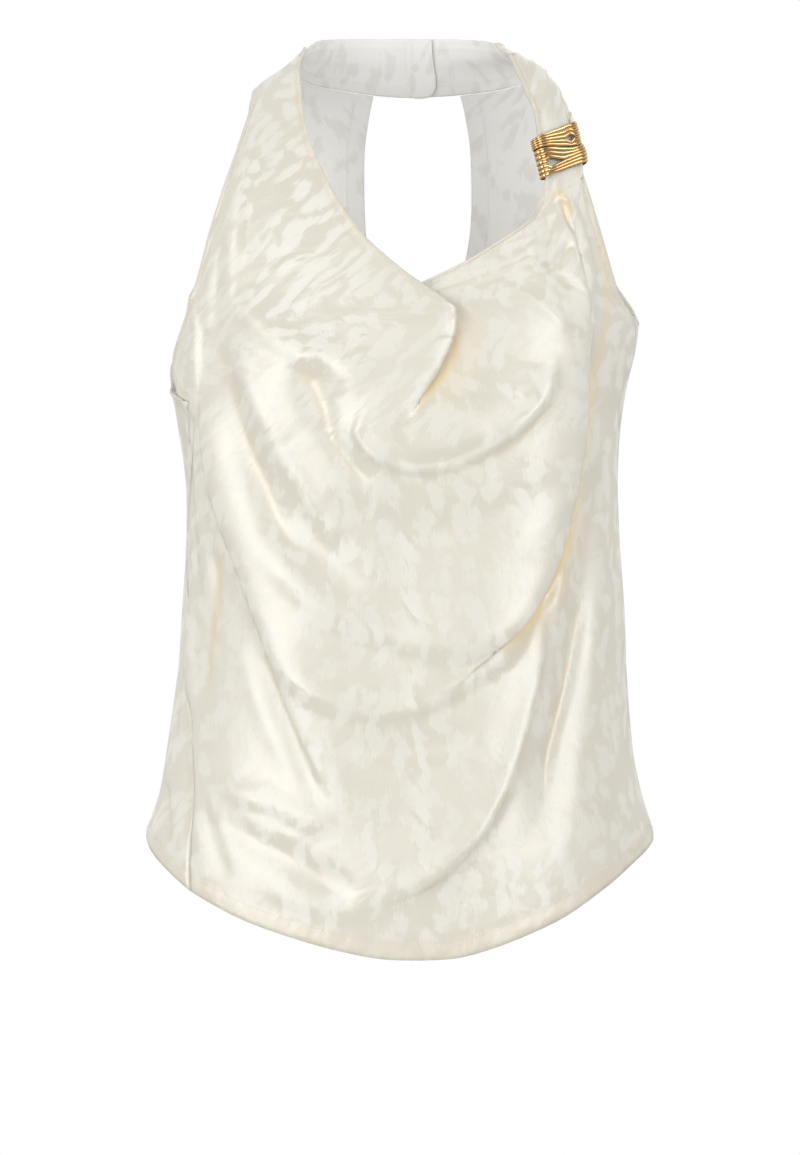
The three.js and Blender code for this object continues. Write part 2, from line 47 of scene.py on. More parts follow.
CAMERA_SIDE = -0.00283
CAMERA_HEIGHT = -0.368
FRAME_HEIGHT = 0.8167


def put_in_scene(name, data):
    """A new object for a mesh, lens or lamp."""
    thing = bpy.data.objects.new(name, data)
    bpy.context.scene.collection.objects.link(thing)
    return thing


lens = bpy.data.cameras.new("camera")
lens.sensor_width = 36.0
lens.lens = lens.sensor_width * CAMERA_DISTANCE / FRAME_HEIGHT
lens.clip_end = 60.0
camera = put_in_scene("camera", lens)
camera.location = (CAMERA_SIDE, -CAMERA_DISTANCE, CAMERA_HEIGHT)
camera.rotation_euler = (math.radians(90), 0, 0)
bpy.context.scene.camera = camera
bpy.context.scene.view_settings.view_transform = "Standard"


# Studio: a pale floor that runs out into a white surround, dimmer in front, with five soft boxes.
# The key stands at the left, the fill at the right, and others light the crown, side and rear. A
# dark card high at the right gives the gold something dark to mirror.
def linear(hex_colour):
    """An sRGB hex colour as linear red, green, blue and alpha."""
    channels = [int(hex_colour[k:k + 2], 16) / 255 for k in (1, 3, 5)]
    return [c / 12.92 if c <= 0.04045 else ((c + 0.055) / 1.055) ** 2.4 for c in channels] + [1.0]


def new_material(name):
    material = bpy.data.materials.new(name)
    material.use_nodes = True
    material.node_tree.nodes.clear()
    return material


def add(tree, kind, links=None, inputs=None, **settings):
    """Adds a node. `links` joins its sockets to other sockets or to the first output of other nodes,
    `inputs` sets their values, and `settings` are the node's own."""
    node = tree.nodes.new("ShaderNode" + kind)
    for key, value in settings.items():
        setattr(node, key, value)
    for key, value in (inputs or {}).items():
        node.inputs[key].default_value = value
    for key, source in (links or {}).items():
        tree.links.new(getattr(source, "outputs", [source])[0], node.inputs[key])
    return node


def finished_mesh(name, bm, *materials):
    """A mesh from a bmesh, which ends here, with its materials."""
    mesh = bpy.data.meshes.new(name)
    bm.to_mesh(mesh)
    bm.free()
    for material in materials:
        mesh.materials.append(material)
    return mesh


FLOOR_HEIGHT = -1.0
FLOOR_SPREAD = 30.0
FLOOR_NEAR = 0.8
FLOOR_FAR = 1.6
FLOOR_LIGHT = 0.60
SURROUND = 1.0
STUDIO_DARK = 0.38
STUDIO_WHITE = 0.93
DARK_CARD = (0.77, -0.08, 0.63)

# Matt studio paint: it scatters light evenly, so the floor has soft shadows and no gloss. Further
# off it glows like the surround, so no line shows where they meet.
floor_paint = new_material("white_studio_paint")
tree = floor_paint.node_tree
place = add(tree, "TexCoord")
away = add(tree, "VectorMath", {0: place.outputs["Object"]}, operation="LENGTH")
fade = add(tree, "MapRange", {"Value": away.outputs["Value"]},
           {"From Min": FLOOR_NEAR, "From Max": FLOOR_FAR}, interpolation_type="SMOOTHSTEP")
ray = add(tree, "LightPath")
strength = add(tree, "MapRange", {"Value": ray.outputs["Is Camera Ray"]},
               {"To Min": FLOOR_LIGHT, "To Max": SURROUND})
near = add(tree, "BsdfDiffuse", inputs={"Color": linear("#f2f1ee")})
far = add(tree, "Emission", {"Strength": strength}, {"Color": linear("#ffffff")})
mixed = add(tree, "MixShader", {0: fade, 1: near, 2: far})
add(tree, "OutputMaterial", {"Surface": mixed})

bm = bmesh.new()
bmesh.ops.create_grid(bm, x_segments=1, y_segments=1, size=FLOOR_SPREAD)
bmesh.ops.translate(bm, verts=bm.verts, vec=(0, 0, FLOOR_HEIGHT))
floor = put_in_scene("floor", finished_mesh("floor", bm, floor_paint))

world = bpy.data.worlds.new("white_surround")
world.use_nodes = True
tree = world.node_tree
tree.nodes.clear()
way = add(tree, "TexCoord")
depth = add(tree, "SeparateXYZ", {"Vector": way.outputs["Generated"]})
dome = add(tree, "MapRange", {"Value": depth.outputs["Y"]},
           {"From Min": -0.8, "From Max": 0.4, "To Min": STUDIO_DARK, "To Max": STUDIO_WHITE})
towards = add(tree, "VectorMath", {0: way.outputs["Generated"]}, {1: DARK_CARD}, operation="DOT_PRODUCT")
card = add(tree, "MapRange", {"Value": towards.outputs["Value"]},
           {"From Min": 0.84, "From Max": 0.94, "To Min": 1.0, "To Max": 0.25},
           interpolation_type="SMOOTHSTEP")
shaded = add(tree, "Math", {0: dome, 1: card}, operation="MULTIPLY")
ray = add(tree, "LightPath")
strength = add(tree, "Mix", {0: ray.outputs["Is Camera Ray"], 2: shaded},
               {3: SURROUND}, data_type="FLOAT")
sky = add(tree, "Background", {"Strength": strength}, {"Color": linear("#ffffff")})
add(tree, "OutputWorld", {"Surface": sky})
bpy.context.scene.world = world

LAMP_AIM = (0, 0, -0.3)
LAMPS = (
    # name, place, width, height, power
    ("key", (-1.7, -2.1, 0.1), 2.0, 1.6, 31.0),
    ("fill", (1.6, -2.3, 0.3), 1.4, 1.6, 25.0),
    ("side", (1.7, -0.2, 1.1), 0.5, 0.9, 5.0),
    ("crown", (0.3, -1.0, 1.9), 1.6, 0.5, 4.0),
    ("rear", (0.4, 2.4, 0.9), 1.2, 1.2, 6.0),
)
for name, spot, width, height, power in LAMPS:
    lamp = bpy.data.lights.new(name, "AREA")
    lamp.shape = "RECTANGLE"
    lamp.size = width
    lamp.size_y = height
    lamp.energy = power
    stand = put_in_scene(name, lamp)
    stand.location = spot
    stand.visible_camera = False
    stand.rotation_euler = (Vector(LAMP_AIM) - Vector(spot)).to_track_quat("-Z", "Y").to_euler()


# Front: one piece of satin jacquard cut on the bias, with both straps. Its fulness is caught in one
# deep pleat at the neckline and swings down in drapes. Its edges are turned in and topstitched.
MM = 0.001
WALL = 1.5
ARC_PER_DEGREE = 2.44
ROUNDNESS = 2.25

# Worn form in millimetres: half widths left and right of the middle, depths in front and behind.
FORM = np.array([
    # z, left, right, front, back
    (24, 66, 66, 42, 58),
    (12, 68.5, 70, 44, 60),
    (4, 71.5, 74, 47, 62),
    (-2, 77, 88, 50, 64),
    (-9, 85, 99, 53, 66),
    (-16, 95.5, 104, 57, 68),
    (-23, 104.5, 109, 61, 71),
    (-30, 109, 112, 64.5, 73.5),
    (-40, 117, 119, 69, 76),
    (-60, 131, 132, 76, 82),
    (-95, 148, 148, 87, 90),
    (-130, 157, 158, 96, 96),
    (-165, 163, 165, 104, 99),
    (-200, 166, 164, 112, 100),
    (-236, 163, 156, 118, 98),
    (-264, 158.5, 152, 121, 95),
    (-300, 153.5, 150.5, 120, 90),
    (-340, 153, 151.5, 117, 86),
    (-392, 156, 155, 114, 86),
    (-434, 159, 156.5, 114, 91),
    (-491, 167, 161, 118, 101),
    (-520, 172, 167, 121, 106),
    (-549, 181, 175, 124, 110),
    (-640, 190, 184, 127, 116),
], float)

# Cut edges and seams: degrees round the body from the centre front towards +X, and height.
EDGES = {
    "hem_front_left": [(5, -628), (-7, -627), (-20, -621.5), (-33, -613), (-46, -601.5), (-60, -584)],
    "hem_front_right": [(5, -628), (16, -626.5), (26, -620.5), (36, -611.5), (46, -600), (58, -581),
        (70, -563.5), (85, -552), (100, -553), (115, -566)],
    "side_left": [(-60, -584), (-64, -510), (-72, -450), (-79, -390), (-81.5, -342), (-77, -295),
        (-68.5, -247)],
    "side_right": [(115, -566), (107, -501), (101, -430), (97, -340), (94, -270), (86, -215), (77, -185)],
    "armhole_front_left": [(-68.5, -247), (-73.5, -242), (-78.3, -235), (-81.5, -226), (-78.5, -213),
        (-74, -199), (-70.5, -180), (-68.5, -152), (-67.8, -125), (-67, -97), (-68, -67), (-72.5, -43),
        (-80, -31), (-90, -25)],
    "armhole_front_right": [(77, -185), (72, -176), (69.3, -160), (68.3, -128), (68, -103), (68.6, -82),
        (70.6, -58), (77.5, -43), (84, -33), (91, -20)],
    "neckline_left": [(-4.4, -187), (-15.5, -165), (-23.5, -144), (-28.7, -127), (-37.7, -91), (-43.8, -67),
        (-50, -43), (-57, -22), (-67.4, -8), (-72, -1.5)],
    "neckline_right": [(-4.4, -187), (2.6, -170), (7, -166), (24, -150), (41, -126), (51, -108),
        (54.8, -94), (57.2, -63), (60.5, -42), (61.3, -27), (63, -12), (66, -2.5)],
    "chest_left": [(-68.5, -247), (-50, -232), (-22, -202), (-4.4, -187)],
    "chest_right": [(-4.4, -187), (20, -196), (50, -196), (77, -185)],
    "shoulder_left": [(-90, -25), (-90, -2)],
    "shoulder_right": [(90, 1), (91, -20)],
    "centre_front": [(5, -628), (-4.4, -187)],
    "band_foot_left": [(-184, -21.3), (-175, -21), (-162.3, -19.8), (-145, -17), (-128, -14), (-110, -9),
        (-98, -4.2), (-90, -2), (-81, -1), (-72, -1.5)],
    "band_foot_right": [(66, -2.5), (77, 0), (90, 1), (99, -3.5), (110, -11), (125, -16.5), (148.5, -19.8),
        (171.6, -21.2), (180, -21.3)],
}

# Folds of the front. The crest follows points of degrees and height, stands out by `height` and
# leans by `over` towards the side that drops away, on the left of its path. `rise` and `fall` are
# the widths of its slopes, and the last two are the shares over which it grows and dies away.
FRONT_FOLDS = [
    # height, over, rise, fall, grows, dies, crest
    (10, 57, 60, 40.6, 0, 0.42, [(-5.7, -90), (-5.7, -187), (-4.3, -230), (-2.3, -264)]),
    (7, 4, 22, 28, 0.35, 0.35, [(37, -222), (32, -246), (25, -266), (14, -279), (3, -284), (-7, -279),
        (-14, -262), (-19, -236)]),
    (11, 17, 40, 38, 0.22, 0.35, [(54.5, -98), (52, -145), (50, -190), (48, -240), (46, -290), (42.5, -335),
        (37.5, -366), (29, -392), (18, -417), (4, -441), (-11, -452)]),
    (9, 13, 42, 30, 0.4, 0.3, [(-14.5, -545), (-26.5, -480), (-37.7, -414), (-47, -356), (-56, -303),
        (-59, -255), (-61, -200)]),
    (6, 7, 34, 26, 0.25, 0.3, [(44, -380), (39, -430), (33, -478), (24, -525), (10, -562), (-6, -580),
        (-22, -592)]),
    (-7, 0, 15, 28, 0.2, 0.3, [(-58, -186), (-56, -222), (-48, -255), (-41, -288), (-32, -322), (-20, -362),
        (-12, -385)]),
    (-4, 0, 10, 18, 0.35, 0.35, [(-34, -218), (-30, -242), (-23, -266)]),
    (-6, 0, 13, 24, 0.3, 0.3, [(64, -275), (63, -330), (60, -385), (54, -450), (47, -505), (41, -560)]),
    (3, 0, 9, 15, 0.3, 0.3, [(-65, -45), (-60.5, -85), (-59.5, -125), (-61, -172)]),
    (-4.5, 0, 9, 17, 0.25, 0.45, [(58, -88), (52, -112), (49.5, -150), (48.5, -215)]),
    (-3, 0, 7, 12, 0.2, 0.5, [(56, -92), (48, -121), (36, -141), (22, -158)]),
]
BACK_FOLDS = [
    (-5, 0, 16, 28, 0.3, 0.4, [(262, -215), (248, -262), (232, -310), (214, -352)]),
    (-5, 0, 16, 28, 0.3, 0.4, [(112, -200), (124, -250), (138, -296), (156, -344)]),
    (5, 0, 20, 26, 0.35, 0.35, [(214, -372), (196, -392), (178, -398), (160, -390), (146, -368)]),
    (6, 0, 20, 34, 0.4, 0, [(226, -430), (222, -500), (220, -600)]),
    (6, 0, 20, 34, 0.4, 0, [(142, -425), (145, -500), (148, -605)]),
]

# Small creases between the folds, in the same places and sizes, without a lean.
CREASE_GROWS = 0.25
CREASE_DIES = 0.25
FRONT_CREASES = [
    # height, rise, fall, crest
    (3.6, 6, 4, [(41, -212), (39, -237), (35, -255), (29, -273), (21, -288), (12, -295), (1, -296),
        (-8, -288), (-14, -277), (-17, -260), (-21, -249)]),
    (3, 11, 12, [(-20, -251), (-28, -231), (-37, -218), (-45, -204), (-51, -190), (-55, -170)]),
    (-3, 6, 8, [(-36, -221), (-32, -237), (-28, -252), (-24, -266), (-18, -285), (-10, -305)]),
    (-3.5, 7, 9, [(-59, -198), (-55, -219), (-49, -243), (-45, -274), (-41, -300), (-36, -332),
        (-29, -353)]),
    (2.5, 9, 10, [(-52, -213), (-44, -247), (-36, -282), (-28, -315), (-19, -342)]),
    (-2.2, 5, 7, [(-61, -131), (-61, -159), (-60, -183), (-59, -198)]),
    (2, 6, 8, [(-60, -100), (-57, -139), (-56, -170), (-53, -191)]),
    (2.5, 5, 5, [(-74, -143), (-67, -187), (-66, -211), (-66, -236), (-66, -271), (-65, -305),
        (-61, -328)]),
    (3, 6, 6, [(59, -95), (61, -116), (62, -139), (61, -162), (59, -191), (56, -218), (54, -246),
        (51, -281)]),
    (-3, 6, 8, [(57, -132), (56, -153), (55, -177), (52, -208), (49, -236)]),
    (-4, 5, 6, [(58, -106), (57, -118), (57, -132)]),
    (-2.4, 4, 5, [(47, -137), (44, -152), (48, -164), (52, -170)]),
    (-2, 4, 5, [(41, -157), (46, -149), (53, -134)]),
    (2.2, 5, 5, [(35, -164), (40, -180), (45, -199)]),
    (-2, 5, 6, [(56, -109), (49, -131), (40, -149), (28, -163), (17, -171), (8, -177)]),
    (-2.6, 4, 5, [(-68, -259), (-76, -314), (-78, -377), (-78, -447), (-74, -495)]),
    (2.2, 4, 5, [(-64, -266), (-69, -328), (-72, -391), (-71, -453)]),
    (2.4, 8, 9, [(40, -223), (37, -244), (32, -259), (26, -269)]),
    (2, 9, 11, [(50, -229), (50, -260), (49, -294), (46, -322)]),
    (-3, 15, 18, [(41, -295), (32, -322), (18, -339), (2, -343), (-14, -332), (-25, -312)]),
    (4, 16, 15, [(46, -346), (38, -377), (25, -400), (9, -411), (-8, -407), (-23, -390), (-34, -363),
        (-41, -336)]),
    (4.5, 14, 11, [(44, -383), (35, -411), (25, -434), (12, -451), (-1, -461), (-15, -457), (-26, -445),
        (-34, -424), (-39, -400)]),
    (-3, 12, 15, [(23, -475), (15, -485), (5, -490), (-8, -489), (-19, -479)]),
    (3.5, 8, 9, [(45, -385), (43, -420), (38, -458), (33, -492), (26, -523), (16, -553), (2, -576),
        (-9, -587)]),
    (2.8, 13, 11, [(-20, -536), (-30, -534), (-39, -525), (-48, -520), (-57, -511)]),
    (-3.5, 11, 14, [(-56, -529), (-45, -542), (-35, -553), (-25, -567), (-14, -576)]),
    (1.4, 11, 11, [(-3, -591), (-16, -597), (-31, -590), (-43, -574)]),
    (-3, 6, 7, [(61, -377), (55, -438), (48, -483), (43, -520)]),
    (2, 8, 8, [(54, -335), (51, -383), (49, -421), (47, -452), (43, -482)]),
    (3.2, 6, 4, [(60, -190), (59, -218), (57, -246), (56, -277), (54, -308), (50, -335), (46, -363),
        (40, -383), (32, -402), (22, -421), (14, -451)]),
    (-3, 5, 9, [(62, -197), (61, -232), (60, -273), (58, -311), (54, -346), (49, -373), (42, -394),
        (34, -414)]),
    (1.7, 9, 9, [(68, -259), (69, -314), (66, -370), (63, -418), (60, -466)]),
    (-2, 8, 9, [(78, -244), (88, -299), (78, -356), (75, -412)]),
    (3, 5, 5, [(-86, -235), (-75, -240), (-69, -248), (-67, -259)]),
    (-3.2, 5, 6, [(-77, -265), (-74, -278), (-75, -314), (-72, -347), (-69, -366)]),
    (2.5, 6, 6, [(-68, -273), (-68, -314), (-65, -356), (-63, -384)]),
    (-3.2, 7, 7, [(-59, -346), (-61, -377), (-63, -418), (-64, -453)]),
    (2.2, 6, 7, [(-71, -384), (-71, -425), (-67, -467)]),
    (-3.2, 5, 6, [(-71, -446), (-67, -494), (-63, -535), (-60, -564)]),
    (-3, 4, 5, [(-78, -510), (-71, -536), (-67, -558)]),
    (-2, 6, 8, [(-59, -521), (-54, -548), (-49, -573)]),
    (-1.7, 8, 11, [(-46, -411), (-39, -445), (-32, -475), (-26, -509)]),
    (1.4, 8, 10, [(-53, -411), (-45, -452), (-36, -492), (-29, -519)]),
]
BACK_CREASES = [
    (-3, 8, 12, [(258, -240), (241, -292), (226, -330)]),
    (-2.5, 8, 12, [(100, -240), (114, -288), (133, -331)]),
    (2.5, 14, 16, [(223, -440), (200, -462), (178, -466), (157, -452)]),
    (-2.5, 10, 14, [(187, -215), (184, -262), (191, -312)]),
    (2, 9, 12, [(167, -211), (165, -250), (157, -303)]),
    (-3, 9, 13, [(205, -480), (200, -541), (202, -602)]),
    (-3, 9, 13, [(166, -470), (163, -533), (160, -605)]),
    (2, 8, 10, [(245, -300), (250, -382), (248, -461)]),
    (-2.5, 8, 12, [(120, -302), (116, -379), (121, -470)]),
    (2.5, 8, 11, [(128, -421), (126, -500), (131, -575)]),
    (-2.5, 8, 12, [(238, -431), (241, -502), (236, -570)]),
]
for folds, creases in ((FRONT_FOLDS, FRONT_CREASES), (BACK_FOLDS, BACK_CREASES)):
    for height, rise, fall, crest in creases:
        folds.append((height, 0, rise, fall, CREASE_GROWS, CREASE_DIES, crest))


CURVE_TICKS = 201


def curve(points, shift=0.0):
    """A smooth curve through points of degrees and height, as a function of shares of its length."""
    knots = np.array(points, float)
    knots[:, 0] = (knots[:, 0] + shift) * ARC_PER_DEGREE
    last = len(knots) - 1

    def along(t):
        k = np.minimum(np.floor(t * last).astype(int), last - 1)
        w = (t * last - k)[:, None]
        p0 = knots[np.maximum(k - 1, 0)]
        p1 = knots[k]
        p2 = knots[k + 1]
        p3 = knots[np.minimum(k + 2, last)]
        v0 = (p2 - p0) / 2
        v1 = (p3 - p1) / 2
        return (2 * p1 - 2 * p2 + v0 + v1) * w**3 + (3 * p2 - 3 * p1 - 2 * v0 - v1) * w**2 + v0 * w + p1

    ticks = np.linspace(0, 1, CURVE_TICKS)
    steps = np.linalg.norm(np.diff(along(ticks), axis=0), axis=1)
    lengths = np.concatenate([[0], np.cumsum(steps)])
    return lambda share: along(np.interp(np.asarray(share, float) * lengths[-1], lengths, ticks))


def worn_form(around, z):
    """Points of the worn form, and the level direction that faces out there."""
    heights = FORM[:, 0]
    last = len(FORM) - 1
    k = (heights[None, 1:last] > z[:, None]).sum(1)
    before = np.maximum(k - 1, 0)
    after = np.minimum(k + 2, last)
    step = heights[k + 1] - heights[k]
    t = np.clip((z - heights[k]) / step, 0, 1)[:, None]
    m0 = (FORM[k + 1, 1:] - FORM[before, 1:]) * (step / (heights[k + 1] - heights[before]))[:, None]
    m1 = (FORM[after, 1:] - FORM[k, 1:]) * (step / (heights[after] - heights[k]))[:, None]
    size = ((2 * t**3 - 3 * t**2 + 1) * FORM[k, 1:] + (t**3 - 2 * t**2 + t) * m0
            + (3 * t**2 - 2 * t**3) * FORM[k + 1, 1:] + (t**3 - t**2) * m1)
    sin = np.sin(np.radians(around))
    cos = np.cos(np.radians(around))
    half = np.where(sin < 0, size[:, 0], size[:, 1])
    depth = np.where(cos < 0, size[:, 3], size[:, 2])
    reach = (np.abs(sin / half) ** ROUNDNESS + np.abs(cos / depth) ** ROUNDNESS) ** (-1 / ROUNDNESS)
    point = np.stack([reach * sin, -reach * cos, z], 1)
    out = np.stack([np.sign(sin) * np.abs(point[:, 0] / half) ** (ROUNDNESS - 1) / half,
                    -np.sign(cos) * np.abs(point[:, 1] / depth) ** (ROUNDNESS - 1) / depth,
                    np.zeros_like(z)], 1)
    return point, out / np.linalg.norm(out, axis=1)[:, None]


CREST_STEPS = 28
FOLD_REACH = 2.8
LIP_PART = 0.25
CURL_PART = 0.3125


def off_crest(s, z, crest, widest):
    """Which places lie near a crest, and for each how far away, on which side and at which share."""
    everywhere = np.stack([s, z], 1)
    points = curve(crest)(np.linspace(0, 1, CREST_STEPS + 1))
    reach = FOLD_REACH * widest
    beside = ((everywhere > points.min(0) - reach) & (everywhere < points.max(0) + reach)).all(1)
    here = everywhere[beside][:, None, :]
    run = np.diff(points, axis=0)
    t = np.clip(((here - points[None, :-1]) * run).sum(2) / (run**2).sum(1), 0, 1)
    off = here - points[None, :-1] - t[:, :, None] * run
    square = (off**2).sum(2)
    k = square.argmin(1)
    row = np.arange(len(here))
    side = np.stack([-run[k, 1], run[k, 0]], 1) / np.linalg.norm(run[k], axis=1)[:, None]
    away = np.sqrt(square[row, k]) * np.where((off[row, k] * side).sum(1) < 0, -1, 1)
    return beside, away, side, (k + t[row, k]) / CREST_STEPS


def dying_off(share, grows, dies):
    """Size of a fold along its crest, from nothing where it starts or ends."""
    size = np.ones(len(share))
    if grows:
        size *= np.sin(np.clip(share / grows, 0, 1) * math.pi / 2)
    if dies:
        size *= np.sin(np.clip((1 - share) / dies, 0, 1) * math.pi / 2)
    return size


def lean_and_stand(folds, s, z):
    """How far a set of folds moves each place of the cloth: round, up and out."""
    move = np.zeros((len(s), 3))
    for height, over, rise, fall, grows, dies, crest in folds:
        beside, away, side, share = off_crest(s, z, crest, max(rise, fall))
        size = dying_off(share, grows, dies)
        lean = over * size * np.exp(-(away / np.where(away < 0, rise, fall * CURL_PART)) ** 2)
        lip = fall * LIP_PART
        slope = np.clip((away + lip) / fall, 0, 1)
        stand = np.where(away < -lip, np.exp(-((away + lip) / rise) ** 2), 1 - slope**2 * (3 - 2 * slope))
        move[beside] += np.column_stack([side * lean[:, None], height * size * stand])
    return move


def cloth(s, z):
    """The middle of the cloth at places of the worn form, with every fold in it."""
    around = s / ARC_PER_DEGREE
    from_front = np.where(around > 180, around - 360, around) * ARC_PER_DEGREE
    from_back = np.where(around < 0, around + 360, around) * ARC_PER_DEGREE
    move = lean_and_stand(FRONT_FOLDS, from_front, z) + lean_and_stand(BACK_FOLDS, from_back, z)
    point, out = worn_form((s + move[:, 0]) / ARC_PER_DEGREE, z + move[:, 1])
    return point + out * move[:, 2:]


# Deep places between folds, where a warm glow is painted into the satin's colour for the light that
# comes back warm from cloth to cloth: width, strength, path.
PAINTED_WARM_HOLLOWS = [
    (4, 0.6, [(17, -180), (17.5, -196), (16.5, -214), (12.5, -230), (6.5, -244), (0, -255)]),
    (9, 0.15, [(21, -180), (22, -200), (21, -220), (15, -240), (8, -254)]),
    (5, 0.65, [(61, -215), (60, -252), (58, -280), (56, -310), (53, -338), (48, -364), (42, -385),
        (34, -404), (25, -421)]),
    (13, 0.3, [(57, -300), (55, -330), (51, -356), (45, -380), (37, -402), (29, -418)]),
    (4, 0.5, [(57, -97), (58, -108), (58, -122)]),
    (2.5, 0.35, [(66, -115), (67, -135), (66, -165), (64, -200), (61, -235)]),
    (5, 0.25, [(-60, -340), (-61, -376), (-62, -420), (-63, -455)]),
]
PAINTED_GLOW_DIES = 0.3


def painted_warm_glow(s, z):
    """How much painted warm glow each place of the cloth gets."""
    around = np.where(s > 180 * ARC_PER_DEGREE, s - 360 * ARC_PER_DEGREE, s)
    total = np.zeros(len(s))
    for width, strength, path in PAINTED_WARM_HOLLOWS:
        beside, away, side, share = off_crest(around, z, path, width)
        fades = dying_off(share, PAINTED_GLOW_DIES, PAINTED_GLOW_DIES)
        total[beside] += strength * fades * np.exp(-(away / width) ** 2)
    return total


# A place is hollow where it lies deeper than the cloth round it does on average, in millimetres.
# The deeper it lies, the more warm glow is painted into its colour.
HOLLOW_REACH = 9.0
HOLLOW_START = 0.6
HOLLOW_FULL = 12.0
HOLLOW_MOST = 0.3
PROBE = 0.6


def facing(s, z):
    """The direction that the cloth faces at places of the worn form."""
    across = cloth(s + PROBE, z) - cloth(s - PROBE, z)
    up = cloth(s, z + PROBE) - cloth(s, z - PROBE)
    out = np.cross(across, up)
    return out / np.linalg.norm(out, axis=1)[:, None]


def smooth(t):
    """A soft step from 0 to 1."""
    t = np.clip(t, 0, 1)
    return t * t * (3 - 2 * t)


def stretch(whole, low, high):
    """The stretch of a curve between two shares of its length."""
    return lambda share: whole(low + (high - low) * np.asarray(share, float))


def share_at(whole, around):
    """The share of a curve's length at a place round the body."""
    shares = np.linspace(0, 1, 2 * CURVE_TICKS - 1)
    s = whole(shares)[:, 0]
    if s[-1] < s[0]:
        return float(np.interp(around * ARC_PER_DEGREE, s[::-1], shares[::-1]))
    return float(np.interp(around * ARC_PER_DEGREE, s, shares))


def cornered(first, second, corner):
    """One curve and then another, meeting at a corner that lies at the given share."""
    def both(share):
        share = np.asarray(share, float)
        before = first(np.clip(share / corner, 0, 1))
        after = second(np.clip((share - corner) / (1 - corner), 0, 1))
        return np.where((share <= corner)[:, None], before, after)
    return both


def gone_along(points, axis):
    """Length gone over the cloth from the first row or column of a grid of points."""
    steps = np.linalg.norm(np.diff(points, axis=axis), axis=2)
    start = np.zeros_like(np.take(steps, [0], axis=axis))
    return np.concatenate([start, np.cumsum(steps, axis=axis)], axis=axis)


def side_curve(name, shift=0.0, backwards=False):
    """The curve of a named edge, which may start from its other end or lie a turn further round."""
    points = EDGES[name][::-1] if backwards else EDGES[name]
    return curve(points, shift)


def lay_patch(bottom, top, left, right, columns, rows, open_sides, spread=lambda t: t, climb=lambda t: t):
    """Places, points and normals of a patch of cloth between four curves or named edges.

    Its open sides keep half a seam's gap.
    """
    bottom, top, left, right = [side_curve(side) if isinstance(side, str) else side
                                for side in (bottom, top, left, right)]
    u = spread(np.linspace(0, 1, columns + 1))
    v = climb(np.linspace(0, 1, rows + 1))
    u = np.clip(u, open_sides.get("left", 0), 1 - open_sides.get("right", 0))
    v = np.clip(v, open_sides.get("bottom", 0), 1 - open_sides.get("top", 0))
    low, high = bottom(u)[None], top(u)[None]
    near, far = left(v)[:, None], right(v)[:, None]
    ends = np.array([0.0, 1.0])
    c00, c10 = bottom(ends)
    c01, c11 = top(ends)
    a, b = u[None, :, None], v[:, None, None]
    places = ((1 - b) * low + b * high + (1 - a) * near + a * far
              - ((1 - a) * (1 - b) * c00 + a * (1 - b) * c10 + (1 - a) * b * c01 + a * b * c11))
    shape = places.shape[:2]
    s, z = places[:, :, 0].ravel(), places[:, :, 1].ravel()
    middle = cloth(s, z)
    out = facing(s, z)
    around_it = sum(cloth(s + ds, z + dz) for ds, dz in ((HOLLOW_REACH, 0), (-HOLLOW_REACH, 0),
                                                         (0, HOLLOW_REACH), (0, -HOLLOW_REACH)))
    # How far a place lies below its neighbours sets how much warm glow is painted into its colour.
    hollow = ((around_it / 4 - middle) * out).sum(1) - HOLLOW_START
    grid = {
        "point": (middle + out * WALL / 2).reshape(*shape, 3),
        "out": out.reshape(*shape, 3),
        "hollow": np.clip(np.clip(hollow / HOLLOW_FULL, 0, HOLLOW_MOST) + painted_warm_glow(s, z), 0, 1).reshape(shape),
        "place": places,
    }
    rise = gone_along(grid["point"], 0)
    run = gone_along(grid["point"], 1)
    grid["from"] = {"bottom": rise, "top": rise[-1:] - rise, "left": run, "right": run[:, -1:] - run}
    return grid


# Sewn edges: the roll lies half way across the turned strip, and the stitches draw a groove.
ROLL_HEIGHT = 0.35
ROLL_SPREAD = 0.42
GROOVE_DEPTH = 0.55
GROOVE_SPREAD = 1.6
PAST_STITCHES = 1.0
PUCKER_PITCH = 7.5
PUCKER_DEPTH = 0.28
PUCKER_SLANT = 0.5
SMALL_PUCKER = 3.1
SMALL_PUCKER_SHARE = 0.5
PUCKER_MIDDLE = 0.6
PUCKER_SPREAD = 0.55


def turn_edge(grid, side, width, fade_from=None, fade=None):
    """Turned and topstitched edge of a patch: a soft roll outside and a doubled layer inside."""
    away = grid["from"][side]
    share = 1.0 if fade_from is None else smooth(grid["from"][fade_from] / fade)
    roll = ROLL_HEIGHT * np.exp(-((away - width * 0.5) / (width * ROLL_SPREAD)) ** 2)
    groove = GROOVE_DEPTH * np.exp(-((away - width) / GROOVE_SPREAD) ** 2)
    grid["point"] += grid["out"] * ((roll - groove) * share)[:, :, None]
    turned = smooth((width + PAST_STITCHES - away) / GROOVE_SPREAD) * share
    grid["turned"] = np.maximum(grid.get("turned", np.zeros(away.shape)), turned)


def pucker_hem(grid, width):
    """Slight slanting ripples where the thread draws the turned hem in."""
    away = grid["from"]["bottom"]
    along = grid["place"][:, :, 0]
    ripple = (np.sin(2 * math.pi * (along - PUCKER_SLANT * away) / PUCKER_PITCH)
              + SMALL_PUCKER_SHARE * np.sin(along / SMALL_PUCKER))
    band = np.exp(-((away - width * PUCKER_MIDDLE) / (width * PUCKER_SPREAD)) ** 2)
    grid["point"] += grid["out"] * (PUCKER_DEPTH * ripple * band)[:, :, None]


